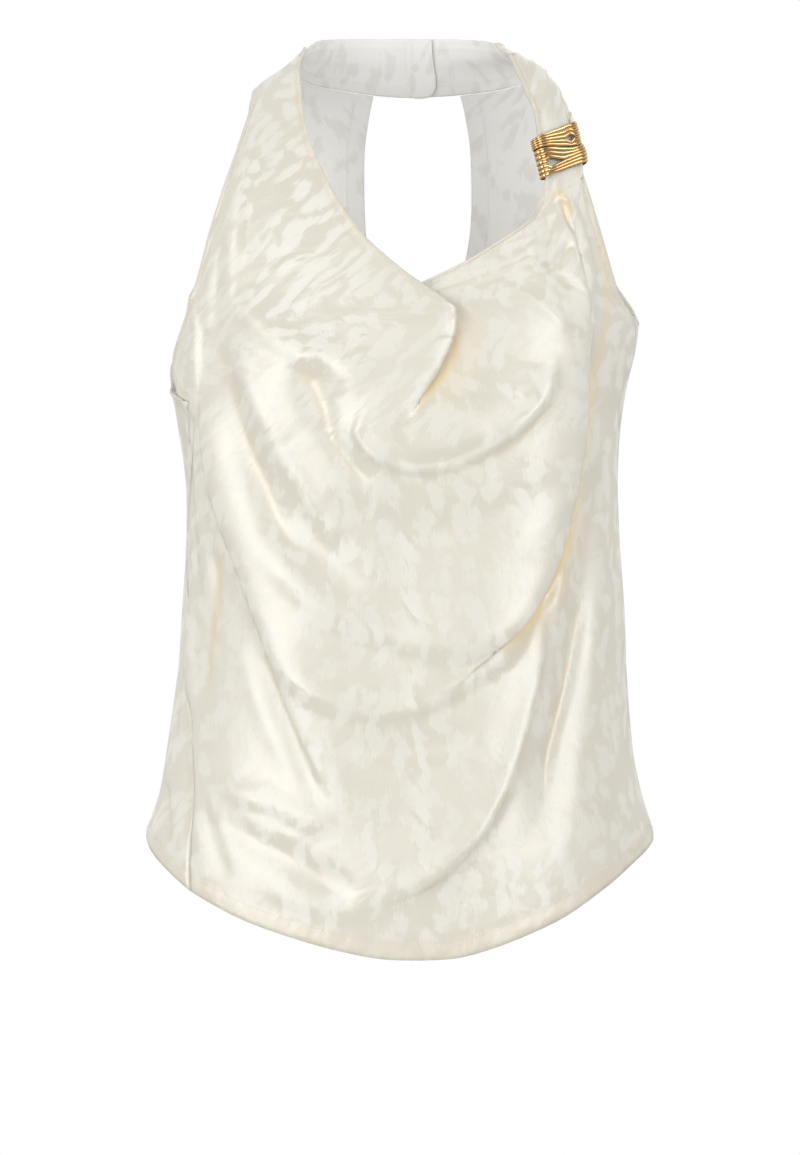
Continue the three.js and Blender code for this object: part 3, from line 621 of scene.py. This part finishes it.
def lay_grid(bm, points):
    """A grid of faces through rows of points in millimetres, and each vertex's row and column."""
    rows, columns = points.shape[:2]
    made = bmesh.ops.create_grid(bm, x_segments=columns - 1, y_segments=rows - 1, size=1.0)
    cells = {}
    for vert in made["verts"]:
        i = round((vert.co.x + 1) / 2 * (columns - 1))
        j = round((vert.co.y + 1) / 2 * (rows - 1))
        cells[vert] = (j, i)
        vert.co = Vector(points[j, i]) * MM
    return cells


CLOTH_WELD = 0.08


def make_cloth(name, grids, thin):
    """Joins patches into one piece of cloth with a wall, thicker where its edges are turned in."""
    bm = bmesh.new()
    uv_layer = bm.loops.layers.uv.new("cloth_mm")
    turned_layer = bm.verts.layers.float.new("turned")
    painted_glow_layer = bm.verts.layers.float.new("hollow")
    for grid in grids:
        turned = grid.get("turned", np.zeros(grid["hollow"].shape))
        cells = lay_grid(bm, grid["point"])
        for vert, cell in cells.items():
            vert[turned_layer] = turned[cell]
            vert[painted_glow_layer] = grid["hollow"][cell]
        for face in {face for vert in cells for face in vert.link_faces}:
            for loop in face.loops:
                loop[uv_layer].uv = grid["uv"][cells[loop.vert]]
    bmesh.ops.remove_doubles(bm, verts=bm.verts, dist=CLOTH_WELD * MM)
    for face in bm.faces:
        face.smooth = True
    mesh = finished_mesh(name, bm, satin_face, satin_reverse)
    piece = put_in_scene(name, mesh)
    layers = piece.vertex_groups.new(name="layers")
    values = np.zeros(len(mesh.vertices), np.float32)
    mesh.attributes["turned"].data.foreach_get("value", values)
    for index, value in enumerate(values):
        layers.add([index], thin + (1 - thin) * float(value), "REPLACE")
    wall = piece.modifiers.new("wall", "SOLIDIFY")
    wall.thickness = WALL * MM
    wall.offset = -1.0
    wall.vertex_group = layers.name
    wall.use_even_offset = False
    wall.material_offset = 1
    wall.material_offset_rim = 0
    return piece


# Satin jacquard, silk-like polyester: a smooth cream ground with paler, slightly duller spots woven
# in like brush strokes. It gives broad soft highlights, and in deep folds a warm glow is painted into
# its colour for light bounced from cloth to cloth. Its threads are about 0.1 mm apart, and are drawn
# 0.8 mm apart because finer ones don't show.
GROUND = "#dad5c6"
SPOT = "#e3e0d5"
PAINTED_FOLD_GLOW = "#efd08c"
# Turned edges are darker: partly the doubled cloth's own tone, partly painted shade.
EDGE_TINT_AND_SHADE = "#d9cfb9"
SPOT_ACROSS = 15.0
SPOT_ALONG = 24.0
SPOT_WANDER = 1.6
CLUMP = 11.0
CLUMP_SHARE = 1.1
BRISTLE = 1.4
BRISTLE_LENGTH = 7
BRISTLE_SHARE = 0.7
THREAD = 0.8
WAVE_REPEAT = 0.314
CRUMPLE = 34
THREAD_RELIEF = 0.012
SPOT_RELIEF = 0.05
CRUMPLE_RELIEF = 1.6
EDGE_TINT_AND_SHADE_SHARE = 0.5


def weave_spots(tree, vector, inputs):
    """Mask of the woven spots: ragged brush strokes, scattered over the cloth."""
    cells = add(tree, "Mapping", {"Vector": vector})
    cells.inputs["Scale"].default_value = (1 / SPOT_ACROSS, 1 / SPOT_ALONG, 1)
    wander = add(tree, "TexNoise", {"Vector": cells}, {"Scale": 0.7, "Detail": 1.0})
    pushed = add(tree, "VectorMath", {0: wander.outputs["Color"]}, {1: (SPOT_WANDER, SPOT_WANDER, 0)},
                 operation="MULTIPLY")
    moved = add(tree, "VectorMath", {0: cells, 1: pushed}, operation="ADD")
    spots = add(tree, "TexVoronoi", {"Vector": moved},
                {"Scale": 1.0, "Randomness": 1.0}, voronoi_dimensions="2D", feature="F1")
    bristles = add(tree, "Mapping", {"Vector": vector})
    bristles.inputs["Scale"].default_value = (1 / BRISTLE, 1 / (BRISTLE * BRISTLE_LENGTH), 1)
    strokes = add(tree, "TexNoise", {"Vector": bristles}, {"Scale": 1.0, "Detail": 2.0, "Roughness": 0.6})
    ragged = add(tree, "Math", {0: strokes.outputs["Fac"]}, {1: BRISTLE_SHARE}, operation="MULTIPLY")
    clumps = add(tree, "TexNoise", {"Vector": vector}, {"Scale": 1 / CLUMP, "Detail": 2.0})
    uneven = add(tree, "Math", {0: clumps.outputs["Fac"], 2: ragged}, {1: CLUMP_SHARE},
                 operation="MULTIPLY_ADD")
    total = add(tree, "Math", {0: spots, 1: uneven}, operation="ADD")
    return add(tree, "MapRange", {"Value": total}, inputs)


satin_face = new_material("satin_jacquard_face")
tree = satin_face.node_tree
cloth_uv = add(tree, "UVMap", uv_map="cloth_mm")
spots = weave_spots(tree, cloth_uv, {"From Min": 1.18, "From Max": 1.38, "To Min": 1.0, "To Max": 0.0})
turned = add(tree, "Attribute", attribute_name="turned")
hollow = add(tree, "Attribute", attribute_name="hollow")
woven = add(tree, "Mix", {0: spots}, {6: linear(GROUND), 7: linear(SPOT)}, data_type="RGBA")
# Painted warm glow: the fold glow colour is mixed in at hollows, for light bounced between folds.
painted_glow_colour = add(tree, "Mix", {0: hollow.outputs["Fac"], 6: woven.outputs[2]},
              {7: linear(PAINTED_FOLD_GLOW)}, data_type="RGBA")
# Darker turned edges, partly the doubled cloth's tone and partly painted shade.
edge_tint_and_shade_share = add(tree, "Math", {0: turned.outputs["Fac"]}, {1: EDGE_TINT_AND_SHADE_SHARE}, operation="MULTIPLY")
satin_colour = add(tree, "Mix", {0: edge_tint_and_shade_share, 6: painted_glow_colour.outputs[2]},
                   {7: linear(EDGE_TINT_AND_SHADE)}, data_type="RGBA")
gloss = add(tree, "MapRange", {"Value": spots}, {"To Min": 0.33, "To Max": 0.44})
crumple = add(tree, "TexNoise", {"Vector": cloth_uv},
              {"Scale": 1 / CRUMPLE, "Detail": 3.0, "Roughness": 0.45, "Distortion": 0.6})
threads = add(tree, "TexWave", {"Vector": cloth_uv},
              {"Scale": 1 / THREAD * WAVE_REPEAT, "Distortion": 0.4}, bands_direction="DIAGONAL")
spot_height = add(tree, "Math", {0: spots}, {1: SPOT_RELIEF}, operation="MULTIPLY")
crumple_height = add(tree, "Math", {0: crumple.outputs["Fac"], 2: spot_height}, {1: CRUMPLE_RELIEF},
                     operation="MULTIPLY_ADD")
relief = add(tree, "Math", {0: threads.outputs["Fac"], 2: crumple_height}, {1: THREAD_RELIEF},
             operation="MULTIPLY_ADD")
bump = add(tree, "Bump", {"Height": relief}, {"Distance": MM, "Strength": 0.8})
floats = add(tree, "Tangent", direction_type="UV_MAP", uv_map="cloth_mm")
lie = add(tree, "MapRange", {"Value": spots}, {"To Min": 0.0, "To Max": 0.25})
satin = add(tree, "BsdfPrincipled",
            {"Base Color": satin_colour.outputs[2], "Roughness": gloss, "Normal": bump,
             "Tangent": floats, "Anisotropic Rotation": lie},
            {"IOR": 1.72, "Specular IOR Level": 0.9, "Anisotropic": 0.6, "Sheen Weight": 0.06,
             "Sheen Roughness": 0.35})
add(tree, "OutputMaterial", {"Surface": satin})

# Reverse of the same jacquard: the floats lie on the face, so the back is duller and cooler, and
# the spots show as faint grey blotches.
REVERSE_GROUND = "#eeedea"
REVERSE_SPOT = "#dfddd6"
REVERSE_CRUMPLE = 28

satin_reverse = new_material("satin_jacquard_reverse")
tree = satin_reverse.node_tree
cloth_uv = add(tree, "UVMap", uv_map="cloth_mm")
spots = weave_spots(tree, cloth_uv, {"From Min": 1.05, "From Max": 1.25, "To Min": 0.6, "To Max": 0.0})
dull = add(tree, "Mix", {0: spots},
           {6: linear(REVERSE_GROUND), 7: linear(REVERSE_SPOT)}, data_type="RGBA")
crumple = add(tree, "TexNoise", {"Vector": cloth_uv},
              {"Scale": 1 / REVERSE_CRUMPLE, "Detail": 3.0, "Roughness": 0.5})
bump = add(tree, "Bump", {"Height": crumple.outputs["Fac"]}, {"Distance": MM, "Strength": 0.9})
matt = add(tree, "BsdfPrincipled", {"Base Color": dull.outputs[2], "Normal": bump},
           {"Roughness": 0.62, "IOR": 1.5, "Sheen Weight": 0.1})
add(tree, "OutputMaterial", {"Surface": matt})


# The spots of a bias cut lie aslant above this height, after a stretch in which they turn.
SLANT_FROM = -300
SLANT_TURN = 90


def map_cloth(grid, inner, outer, strap, slant):
    """Flat place of each point of the cloth in millimetres, from the centre line and the chest line."""
    sign = 1 if inner == "left" else -1
    if strap:
        chest = grid["place"][:1, :, 1]
        whole = grid["from"][outer][:1].max()
        u = sign * (whole - grid["from"][outer])
        v = chest + grid["from"]["bottom"]
    else:
        chest = grid["place"][-1:, :, 1]
        u = sign * grid["from"][inner]
        v = chest - grid["from"]["top"]
    above = np.clip(v - SLANT_FROM, 0, None)
    u = u - slant * np.where(above < SLANT_TURN, above**2 / (2 * SLANT_TURN), above - SLANT_TURN / 2)
    grid["uv"] = np.stack([u, v], 2)


HEM_TURN = 12.0
ARMHOLE_TURN = 6.5
NECK_TURN = 4.5
ARMHOLE_FADE = 14.0
NECK_FADE = 6.0


def turn_half(low, strap, inner, outer, inner_turn, inner_fade, slant):
    """Turns the hem, the armhole and the inner edge of half a panel, and lays its pattern."""
    turn_edge(low, "bottom", HEM_TURN)
    pucker_hem(low, HEM_TURN)
    turn_edge(strap, outer, ARMHOLE_TURN, "bottom", ARMHOLE_FADE)
    turn_edge(strap, inner, inner_turn, "bottom", inner_fade)
    map_cloth(low, inner, outer, False, slant)
    map_cloth(strap, inner, outer, True, slant)


# Half a seam's gap as a share of a patch, and the wall of a single layer as a share of a doubled one.
GAP = 0.0012
THIN = 0.55
BODY_ROWS = 150
STRAP_ROWS = 84
LEFT_COLUMNS = 62
RIGHT_COLUMNS = 104
# How much of a strap's top, from its left end, lies at the shoulder seam or at the neckband.
SHOULDER_LEFT_SHARE = 9 / 16
NECK_RIGHT_SHARE = 14 / 25
FRONT_SLANT = 0.45

dense_near_pleat = lambda t: 0.45 * t + 0.55 * t * t
dense_near_chest = lambda t: 1.4 * t - 0.4 * t * t
foot_left = side_curve("band_foot_left")
foot_right = side_curve("band_foot_right")
neck_left = stretch(foot_left, share_at(foot_left, -90), 1.0)
neck_right = stretch(foot_right, 0.0, share_at(foot_right, 90))

front_low_left = lay_patch(
    side_curve("hem_front_left", backwards=True), "chest_left", "side_left", "centre_front",
    LEFT_COLUMNS, BODY_ROWS, {"bottom": GAP, "left": GAP}, climb=dense_near_chest)
front_low_right = lay_patch(
    "hem_front_right", "chest_right", "centre_front", "side_right",
    RIGHT_COLUMNS, BODY_ROWS, {"bottom": GAP, "right": GAP}, dense_near_pleat, dense_near_chest)
front_strap_left = lay_patch(
    "chest_left", cornered(side_curve("shoulder_left"), neck_left, SHOULDER_LEFT_SHARE),
    "armhole_front_left", "neckline_left",
    LEFT_COLUMNS, STRAP_ROWS, {"top": GAP, "left": GAP, "right": GAP})
front_strap_right = lay_patch(
    "chest_right", cornered(neck_right, side_curve("shoulder_right"), dense_near_pleat(NECK_RIGHT_SHARE)),
    "neckline_right", "armhole_front_right",
    RIGHT_COLUMNS, STRAP_ROWS, {"top": GAP, "left": GAP, "right": GAP}, dense_near_pleat)
FRONT_HALVES = ((front_low_left, front_strap_left, "right", "left"),
                (front_low_right, front_strap_right, "left", "right"))
for half in FRONT_HALVES:
    turn_half(*half, NECK_TURN, NECK_FADE, FRONT_SLANT)

front_cloth = make_cloth(
    "front_cloth", [front_low_left, front_low_right, front_strap_left, front_strap_right], THIN)
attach(front_cloth, "root")
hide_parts("front")


# Back: one panel of the same jacquard with a long keyhole from the nape. Its edges are turned in
# 13 mm and stitched, and the armholes are cut in deep.
EDGES.update({
    "hem_back_right": [(115, -566), (130, -583), (150, -604), (167, -615.5), (180, -619)],
    "hem_back_left": [(180, -619), (193, -615.5), (210, -604), (235, -578), (255, -556), (272, -550),
        (287, -564), (300, -584)],
    "armhole_back_left": [(291.5, -247), (280, -238), (269.5, -223), (255, -195), (249, -140), (248.5, -95),
        (250, -60), (256, -39), (270, -25)],
    "armhole_back_right": [(77, -185), (84, -188), (92, -187), (105, -162), (110, -133), (112.5, -97),
        (112, -62), (108.5, -40), (91, -20)],
    "keyhole_left": [(175, -192), (184, -184), (191, -164), (196, -122), (198.5, -79), (199.4, -50),
        (197.7, -20)],
    "keyhole_right": [(175, -192), (166, -184), (159, -164), (152.5, -120), (149.5, -79), (147.8, -45),
        (148.5, -20)],
    "blade_right": [(77, -185), (110, -204), (150, -204), (175, -192)],
    "blade_left": [(175, -192), (200, -206), (250, -225), (291.5, -247)],
    "centre_back": [(180, -619), (175, -192)],
})
KEYHOLE_TURN = 13.0
KEYHOLE_FADE = 14.0
BACK_COLUMNS = 66
BACK_SHOULDER_SHARE = 0.25

back_foot_right = stretch(foot_right, share_at(foot_right, 90), share_at(foot_right, 148.5))
left_foot_turned = side_curve("band_foot_left", 360)
back_foot_left = stretch(left_foot_turned, share_at(left_foot_turned, 197.7),
                         share_at(left_foot_turned, 270))
back_low_right = lay_patch(
    "hem_back_right", "blade_right", "side_right", "centre_back",
    BACK_COLUMNS, BODY_ROWS, {"bottom": GAP, "left": GAP}, climb=dense_near_chest)
back_low_left = lay_patch(
    "hem_back_left", "blade_left", "centre_back", side_curve("side_left", 360),
    BACK_COLUMNS, BODY_ROWS, {"bottom": GAP, "right": GAP}, climb=dense_near_chest)
back_strap_right = lay_patch(
    "blade_right",
    cornered(side_curve("shoulder_right", backwards=True), back_foot_right, BACK_SHOULDER_SHARE),
    "armhole_back_right", "keyhole_right",
    BACK_COLUMNS, STRAP_ROWS, {"top": GAP, "left": GAP, "right": GAP})
back_strap_left = lay_patch(
    "blade_left",
    cornered(back_foot_left, side_curve("shoulder_left", 360, True), 1 - BACK_SHOULDER_SHARE),
    "keyhole_left", "armhole_back_left",
    BACK_COLUMNS, STRAP_ROWS, {"top": GAP, "left": GAP, "right": GAP})
BACK_HALVES = ((back_low_right, back_strap_right, "right", "left"),
               (back_low_left, back_strap_left, "left", "right"))
for half in BACK_HALVES:
    turn_half(*half, KEYHOLE_TURN, KEYHOLE_FADE, 0.0)

back_cloth = make_cloth(
    "back_cloth", [back_low_right, back_low_left, back_strap_right, back_strap_left], THIN)
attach(back_cloth, "root")
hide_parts("back")


# Neckband: two doubled strips, 40 mm high, that stand round the neck. The left one runs on past
# the nape as a rounded tab inside the right one, where the closure is sewn through.
EDGES.update({
    "band_top_left": [(-200, 20.5), (-188, 20.8), (-165, 20.5), (-149, 20), (-122, 17), (-112, 13),
        (-104, 9), (-92, 6.8), (-80, 5.6)],
    "band_top_right": [(70, 7), (90, 8), (107, 12), (127, 17), (145, 19.5), (172, 20.8), (180, 21)],
    "band_front_left": [(-72, -1.5), (-76, 2), (-80, 5.6)],
    "band_front_right": [(66, -2.5), (68, 2.2), (70, 7)],
    "tab_foot": [(-200, -11), (-198, -17), (-194, -20.6), (-184, -21.3)],
})
TAB_ROOT = -184
TAB_INSET = 2.4
TAB_RAMP = 4.0
NAPE_SEAM = 171.6
BAND_ROWS = 22
BAND_COLUMNS = 110
TAB_COLUMNS = 24
BAND_GAP = 0.012
BAND_END_GAP = 0.004
NAPE_GAP = 0.006
TAB_END_GAP = 0.02
FOOT_LINE = 8.0
TOP_LINE = 7.0
LINE_DEPTH = 0.3
LINE_SPREAD = 1.3
# A degree round the neck is shorter than one round the body, and the band's spots start higher.
NECK_ARC_SHARE = 0.6
BAND_SPOT_SHIFT = 40

crown_left = side_curve("band_top_left")
crown_right = side_curve("band_top_right")
root_share = share_at(crown_left, TAB_ROOT)
crown_root = crown_left([root_share])[0]
crown_end = crown_left([0.0])[0]
foot_root = foot_left([0.0])[0]


def straight(start, end):
    """A straight line between two places of the flattened form."""
    return lambda share: start + (end - start) * np.asarray(share, float)[:, None]


band_left = lay_patch(
    foot_left, stretch(crown_left, root_share, 1.0), straight(foot_root, crown_root), "band_front_left",
    BAND_COLUMNS, BAND_ROWS, {"bottom": BAND_GAP, "top": BAND_GAP, "right": BAND_END_GAP})
tab_foot = side_curve("tab_foot")
tab = lay_patch(
    tab_foot, stretch(crown_left, 0.0, root_share), straight(tab_foot([0.0])[0], crown_end),
    straight(foot_root, crown_root), TAB_COLUMNS, BAND_ROWS,
    {"bottom": BAND_GAP, "top": BAND_GAP, "left": TAB_END_GAP})
seam_foot = share_at(foot_right, NAPE_SEAM)
seam_crown = share_at(crown_right, NAPE_SEAM)
band_right = lay_patch(
    stretch(foot_right, 0.0, seam_foot), stretch(crown_right, 0.0, seam_crown), "band_front_right",
    straight(foot_right([seam_foot])[0], crown_right([seam_crown])[0]), BAND_COLUMNS, BAND_ROWS,
    {"bottom": BAND_GAP, "top": BAND_GAP, "left": BAND_END_GAP, "right": NAPE_GAP})
for grid in (band_left, tab):
    around = grid["place"][:, :, 0] / ARC_PER_DEGREE
    inward = TAB_INSET * smooth((TAB_ROOT - around) / TAB_RAMP)
    grid["point"] -= grid["out"] * inward[:, :, None]
for grid in (band_left, tab, band_right):
    for side, width in (("bottom", FOOT_LINE), ("top", TOP_LINE)):
        drawn = LINE_DEPTH * np.exp(-((grid["from"][side] - width) / LINE_SPREAD) ** 2)
        grid["point"] -= grid["out"] * drawn[:, :, None]
    around = grid["place"][:, :, 0] * NECK_ARC_SHARE
    grid["uv"] = np.stack([around, grid["from"]["bottom"] + BAND_SPOT_SHIFT], 2)

neckband_left = make_cloth("neckband_left_cloth", [tab, band_left], 1.0)
neckband_right = make_cloth("neckband_right_cloth", [band_right], 1.0)
for piece, node in ((neckband_left, "neckband_left"), (neckband_right, "neckband_right")):
    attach(piece, "root")
    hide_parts(node)


# Topstitching in matching polyester thread: along the hem, the armholes, the neckline and the
# keyhole, through both layers, and twice down the closure of the neckband.
STITCH_PITCH = 3.0
STITCH_LENGTH = 2.3
STITCH_WIDTH = 0.5
STITCH_PROUD = 0.12
CLOSURE_LINE = 3.0

# Spun polyester thread, a little paler than the cloth. It looks matt, with a faint fuzz in the light.
thread = new_material("polyester_sewing_thread")
tree = thread.node_tree
place = add(tree, "TexCoord")
fibre = add(tree, "TexNoise", {"Vector": place.outputs["Object"]}, {"Scale": 900.0, "Detail": 1.0})
shade = add(tree, "Mix", {0: fibre.outputs["Fac"]},
            {6: linear("#e9e0cc"), 7: linear("#f6f1e4")}, data_type="RGBA")
twist = add(tree, "BsdfPrincipled", {"Base Color": shade.outputs[2]},
            {"Roughness": 0.55, "Sheen Weight": 0.2})
add(tree, "OutputMaterial", {"Surface": twist})


def seam_path(grid, side, width):
    """Points and normals of a line that keeps its distance from one side of a patch."""
    away, point, out = grid["from"][side], grid["point"], grid["out"]
    if side in ("left", "right"):
        away = away.T
        point = point.transpose(1, 0, 2)
        out = out.transpose(1, 0, 2)
    if side in ("top", "right"):
        away = away[::-1]
        point = point[::-1]
        out = out[::-1]
    values = np.concatenate([point, out], 2)
    return np.array([[np.interp(width, away[:, k], values[:, k, c]) for c in range(6)]
                     for k in range(away.shape[1])])


def sew(name, seams):
    """Rows of stitches outside and inside, along lines of a patch, a side of it and a distance."""
    bm = bmesh.new()
    bmesh.ops.create_icosphere(bm, subdivisions=1, radius=0.5)
    stitch = np.array([vert.co for vert in bm.verts])
    corners = np.array([[vert.index for vert in face.verts] for face in bm.faces])
    bm.free()
    rows = []
    for seam in seams:
        path = seam_path(*seam)
        point, out = path[:, :3], path[:, 3:]
        gone = np.concatenate([[0], np.cumsum(np.linalg.norm(np.diff(point, axis=0), axis=1))])
        middles = np.arange(STITCH_PITCH, gone[-1] - STITCH_PITCH, STITCH_PITCH)
        at = lambda where, values: np.stack([np.interp(where, gone, values[:, c]) for c in range(3)], 1)
        centre = at(middles, point)
        ahead = at(middles + 1.0, point) - at(middles - 1.0, point)
        normal = at(middles, out)
        x = ahead / np.linalg.norm(ahead, axis=1)[:, None]
        z = normal / np.linalg.norm(normal, axis=1)[:, None]
        y = np.cross(z, x)
        axes = np.stack([x * STITCH_LENGTH, y * STITCH_WIDTH, z * STITCH_WIDTH], 1)
        for depth in (STITCH_PROUD, -WALL - STITCH_PROUD):
            rows.append((stitch @ axes + (centre + z * depth)[:, None, :]).reshape(-1, 3))
    points = np.concatenate(rows) * MM
    starts = np.arange(0, len(points), len(stitch))
    faces = (corners[None] + starts[:, None, None]).reshape(-1, 3)
    mesh = bpy.data.meshes.new(name)
    mesh.from_pydata(points.tolist(), [], faces.tolist())
    mesh.shade_smooth()
    mesh.materials.append(thread)
    piece = put_in_scene(name, mesh)
    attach(piece, "root")
    return piece


def panel_seams(halves, inner_turn):
    """The hem, armhole and inner edge of each half of a panel."""
    seams = []
    for low, strap, inner, outer in halves:
        seams += [(low, "bottom", HEM_TURN), (strap, outer, ARMHOLE_TURN), (strap, inner, inner_turn)]
    return seams


front_stitches = sew("front_stitching", panel_seams(FRONT_HALVES, NECK_TURN))
back_stitches = sew("back_stitching", panel_seams(BACK_HALVES, KEYHOLE_TURN))
band_left_stitches = sew("neckband_left_stitching", [
    (band_left, "top", TOP_LINE), (band_left, "bottom", FOOT_LINE), (band_left, "left", CLOSURE_LINE),
    (tab, "left", CLOSURE_LINE)])
band_right_stitches = sew("neckband_right_stitching", [
    (band_right, "top", TOP_LINE), (band_right, "bottom", FOOT_LINE),
    (band_right, "right", CLOSURE_LINE)])


# Slide buckle: a flattened sleeve of cast zinc alloy, made as two ribbed ribbons that interlock
# round two three-cornered eyes, plated in polished warm gold. It slides on the strap at +X.
BUCKLE_SEAT = (63.8, -69)
BUCKLE_WIDTH = 40.0
BUCKLE_DEPTH = 9.4
BUCKLE_SETTLE = 2.2
BUCKLE_SLANT = 0.31
BUCKLE_SQUARENESS = 4
BUCKLE_WALL = 1.0
RIB_HEIGHT = 0.8
RIB_STEPS = 12
BUCKLE_COLUMNS = 200
BUCKLE_WELD = 0.05
RING_TICKS = 1441
RING_PROBE = 0.2
CORNER_ROUNDING = 1.5
# A ribbon stands out most along its middle, and less at its edges and past the sleeve's corners.
EDGE_STAND = 0.6
STAND_END = 27
STAND_FADE = 6
# How sharply the painted groove shade gathers into the bottom of each groove.
GROOVE_SHARPNESS = 1.2
# Lines across the sleeve, as distance from its middle and depth below it, from the top edge down.
EDGE_TOP = [(-20, -12.0), (20, -15.2)]
UPPER_EYE_TOP = [(-20, -7), (3.8, -3.9), (11.1, -6), (11.9, -3.4), (20, -4)]
UPPER_EYE_FOOT = [(-20, -7), (3.8, -3.9), (9.4, -0.5), (11.9, -3.4), (20, -4)]
OVERLAP_TOP = [(-20, -3.6), (-10, -1.8), (-3.2, 0.3), (7, 2.6), (15.3, 3.8), (20, 2)]
OVERLAP_FOOT = [(-20, -3.6), (-10, -1.8), (-3.2, 0.3), (7, 3.8), (15.3, 4), (20, 2)]
LOWER_EYE_TOP = [(-20, 8.4), (-15.8, 9.4), (-14.4, 6.1), (-2.8, 11.3), (20, 9.6)]
LOWER_EYE_FOOT = [(-20, 8.4), (-15.8, 9.4), (-14.9, 12.9), (-2.8, 11.3), (20, 9.6)]
EDGE_FOOT = [(-20, 18.4), (20, 17.4)]
RIBBON_HALVES = (
    # top line, foot line, ribs, outer edge of the ribbon, how far it stands out at -X and at +X
    (EDGE_TOP, UPPER_EYE_TOP, 3, EDGE_TOP, 1.2, 0.3),
    (UPPER_EYE_FOOT, OVERLAP_TOP, 2, EDGE_TOP, 1.2, 0.3),
    (OVERLAP_FOOT, LOWER_EYE_TOP, 3, EDGE_FOOT, 0.3, 1.2),
    (LOWER_EYE_FOOT, EDGE_FOOT, 3, EDGE_FOOT, 0.3, 1.2),
)

# Gold plate, polished over cast zinc. It is a warm mirror: each rib carries a thin bright line, and
# the grooves between them are painted dark brown as shade.
gold = new_material("polished_gold_plate")
tree = gold.node_tree
place = add(tree, "TexCoord")
cast = add(tree, "TexNoise", {"Vector": place.outputs["Object"]}, {"Scale": 260.0, "Detail": 2.0})
tone = add(tree, "Mix", {0: cast.outputs["Fac"]},
           {6: linear("#eebd7c"), 7: linear("#f5cf98")}, data_type="RGBA")
# Painted shade: the grooves between ribs are painted dark brown.
groove = add(tree, "Attribute", attribute_name="groove")
shaded = add(tree, "Mix", {0: groove.outputs["Fac"], 6: tone.outputs[2]},
             {7: linear("#4a2208")}, data_type="RGBA")
polish = add(tree, "MapRange", {"Value": cast.outputs["Fac"]}, {"To Min": 0.11, "To Max": 0.14})
plate = add(tree, "BsdfPrincipled",
            {"Base Color": shaded.outputs[2], "Roughness": polish}, {"Metallic": 1.0})
add(tree, "OutputMaterial", {"Surface": plate})

seat_s = np.array([BUCKLE_SEAT[0] * ARC_PER_DEGREE])
seat_z = np.array([float(BUCKLE_SEAT[1])])
seat_out = facing(seat_s, seat_z)[0]
seat_level = np.cross([0.0, 0.0, 1.0], seat_out)
seat_level /= np.linalg.norm(seat_level)
seat_down = np.cross(seat_level, seat_out)
seat_middle = cloth(seat_s, seat_z)[0] - seat_out * BUCKLE_SETTLE


def squared(wave):
    """A sine or cosine made that of a ring with squarer corners."""
    return np.sign(wave) * np.abs(wave) ** (2 / BUCKLE_SQUARENESS)


turns = np.linspace(-1.5 * math.pi, 0.5 * math.pi, RING_TICKS)[::-1]
ring = np.stack([BUCKLE_WIDTH / 2 * squared(np.cos(turns)), BUCKLE_DEPTH / 2 * squared(np.sin(turns))], 1)
ring_gone = np.concatenate([[0], np.cumsum(np.linalg.norm(np.diff(ring, axis=0), axis=1))])


def at_line(line, x):
    """Depth below the middle of a line across the sleeve, with its corners rounded."""
    near = x + np.linspace(-CORNER_ROUNDING, CORNER_ROUNDING, 9)[:, None]
    return np.interp(near, [p[0] for p in line], [p[1] for p in line]).mean(0)


def half_ribbon(top, foot, ribs, edge, stand_left, stand_right):
    """Points of one half of a ribbon, all the way round the sleeve, and how deep in its groove each lies,
    which sets the painted shade.
    """
    rows = ribs * RIB_STEPS
    gone = np.linspace(0, ring_gone[-1], BUCKLE_COLUMNS + 1)
    x = np.where(gone > ring_gone[-1] / 2, gone - ring_gone[-1], gone)
    t = np.linspace(0, 1, rows + 1)[:, None]
    down = (1 - t) * at_line(top, x) + t * at_line(foot, x)
    width = (down - at_line(edge, x)) / (at_line(OVERLAP_TOP, x) - at_line(edge, x))
    side = smooth(x / BUCKLE_WIDTH + 0.5)
    rib = np.sqrt(np.abs(np.sin(math.pi * ribs * t))) * np.ones_like(x)
    stand = ((1 - side) * stand_left + side * stand_right) * (EDGE_STAND + 4 * width * (1 - width))
    lift = RIB_HEIGHT * rib + stand * smooth((STAND_END - np.abs(x)) / STAND_FADE)
    here, ahead = [np.stack([np.interp(where, ring_gone, ring[:, c]) for c in (0, 1)], 1)
                   for where in (gone, (gone + RING_PROBE) % ring_gone[-1])]
    run = ahead - here
    normal = np.stack([-run[:, 1], run[:, 0]], 1) / np.linalg.norm(run, axis=1)[:, None]
    flat = here[None] + normal[None] * lift[:, :, None]
    across, depth = flat[:, :, :1], flat[:, :, 1:]
    points = (seat_middle + seat_level * across + seat_out * depth
              + seat_down * (down[:, :, None] - BUCKLE_SLANT * across))
    return points, (1 - rib) ** GROOVE_SHARPNESS


bm = bmesh.new()
groove_shade_layer = bm.verts.layers.float.new("groove")
for half in RIBBON_HALVES:
    points, depths = half_ribbon(*half)
    for vert, cell in lay_grid(bm, points).items():
        vert[groove_shade_layer] = depths[cell]
bmesh.ops.remove_doubles(bm, verts=bm.verts, dist=BUCKLE_WELD * MM)
bmesh.ops.recalc_face_normals(bm, faces=bm.faces)
for face in bm.faces:
    face.smooth = True
buckle = put_in_scene("ribbed_buckle", finished_mesh("ribbed_buckle", bm, gold))
cast_wall = buckle.modifiers.new("cast_wall", "SOLIDIFY")
cast_wall.thickness = BUCKLE_WALL * MM
cast_wall.offset = -1.0
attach(buckle, "root")
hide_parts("buckle")
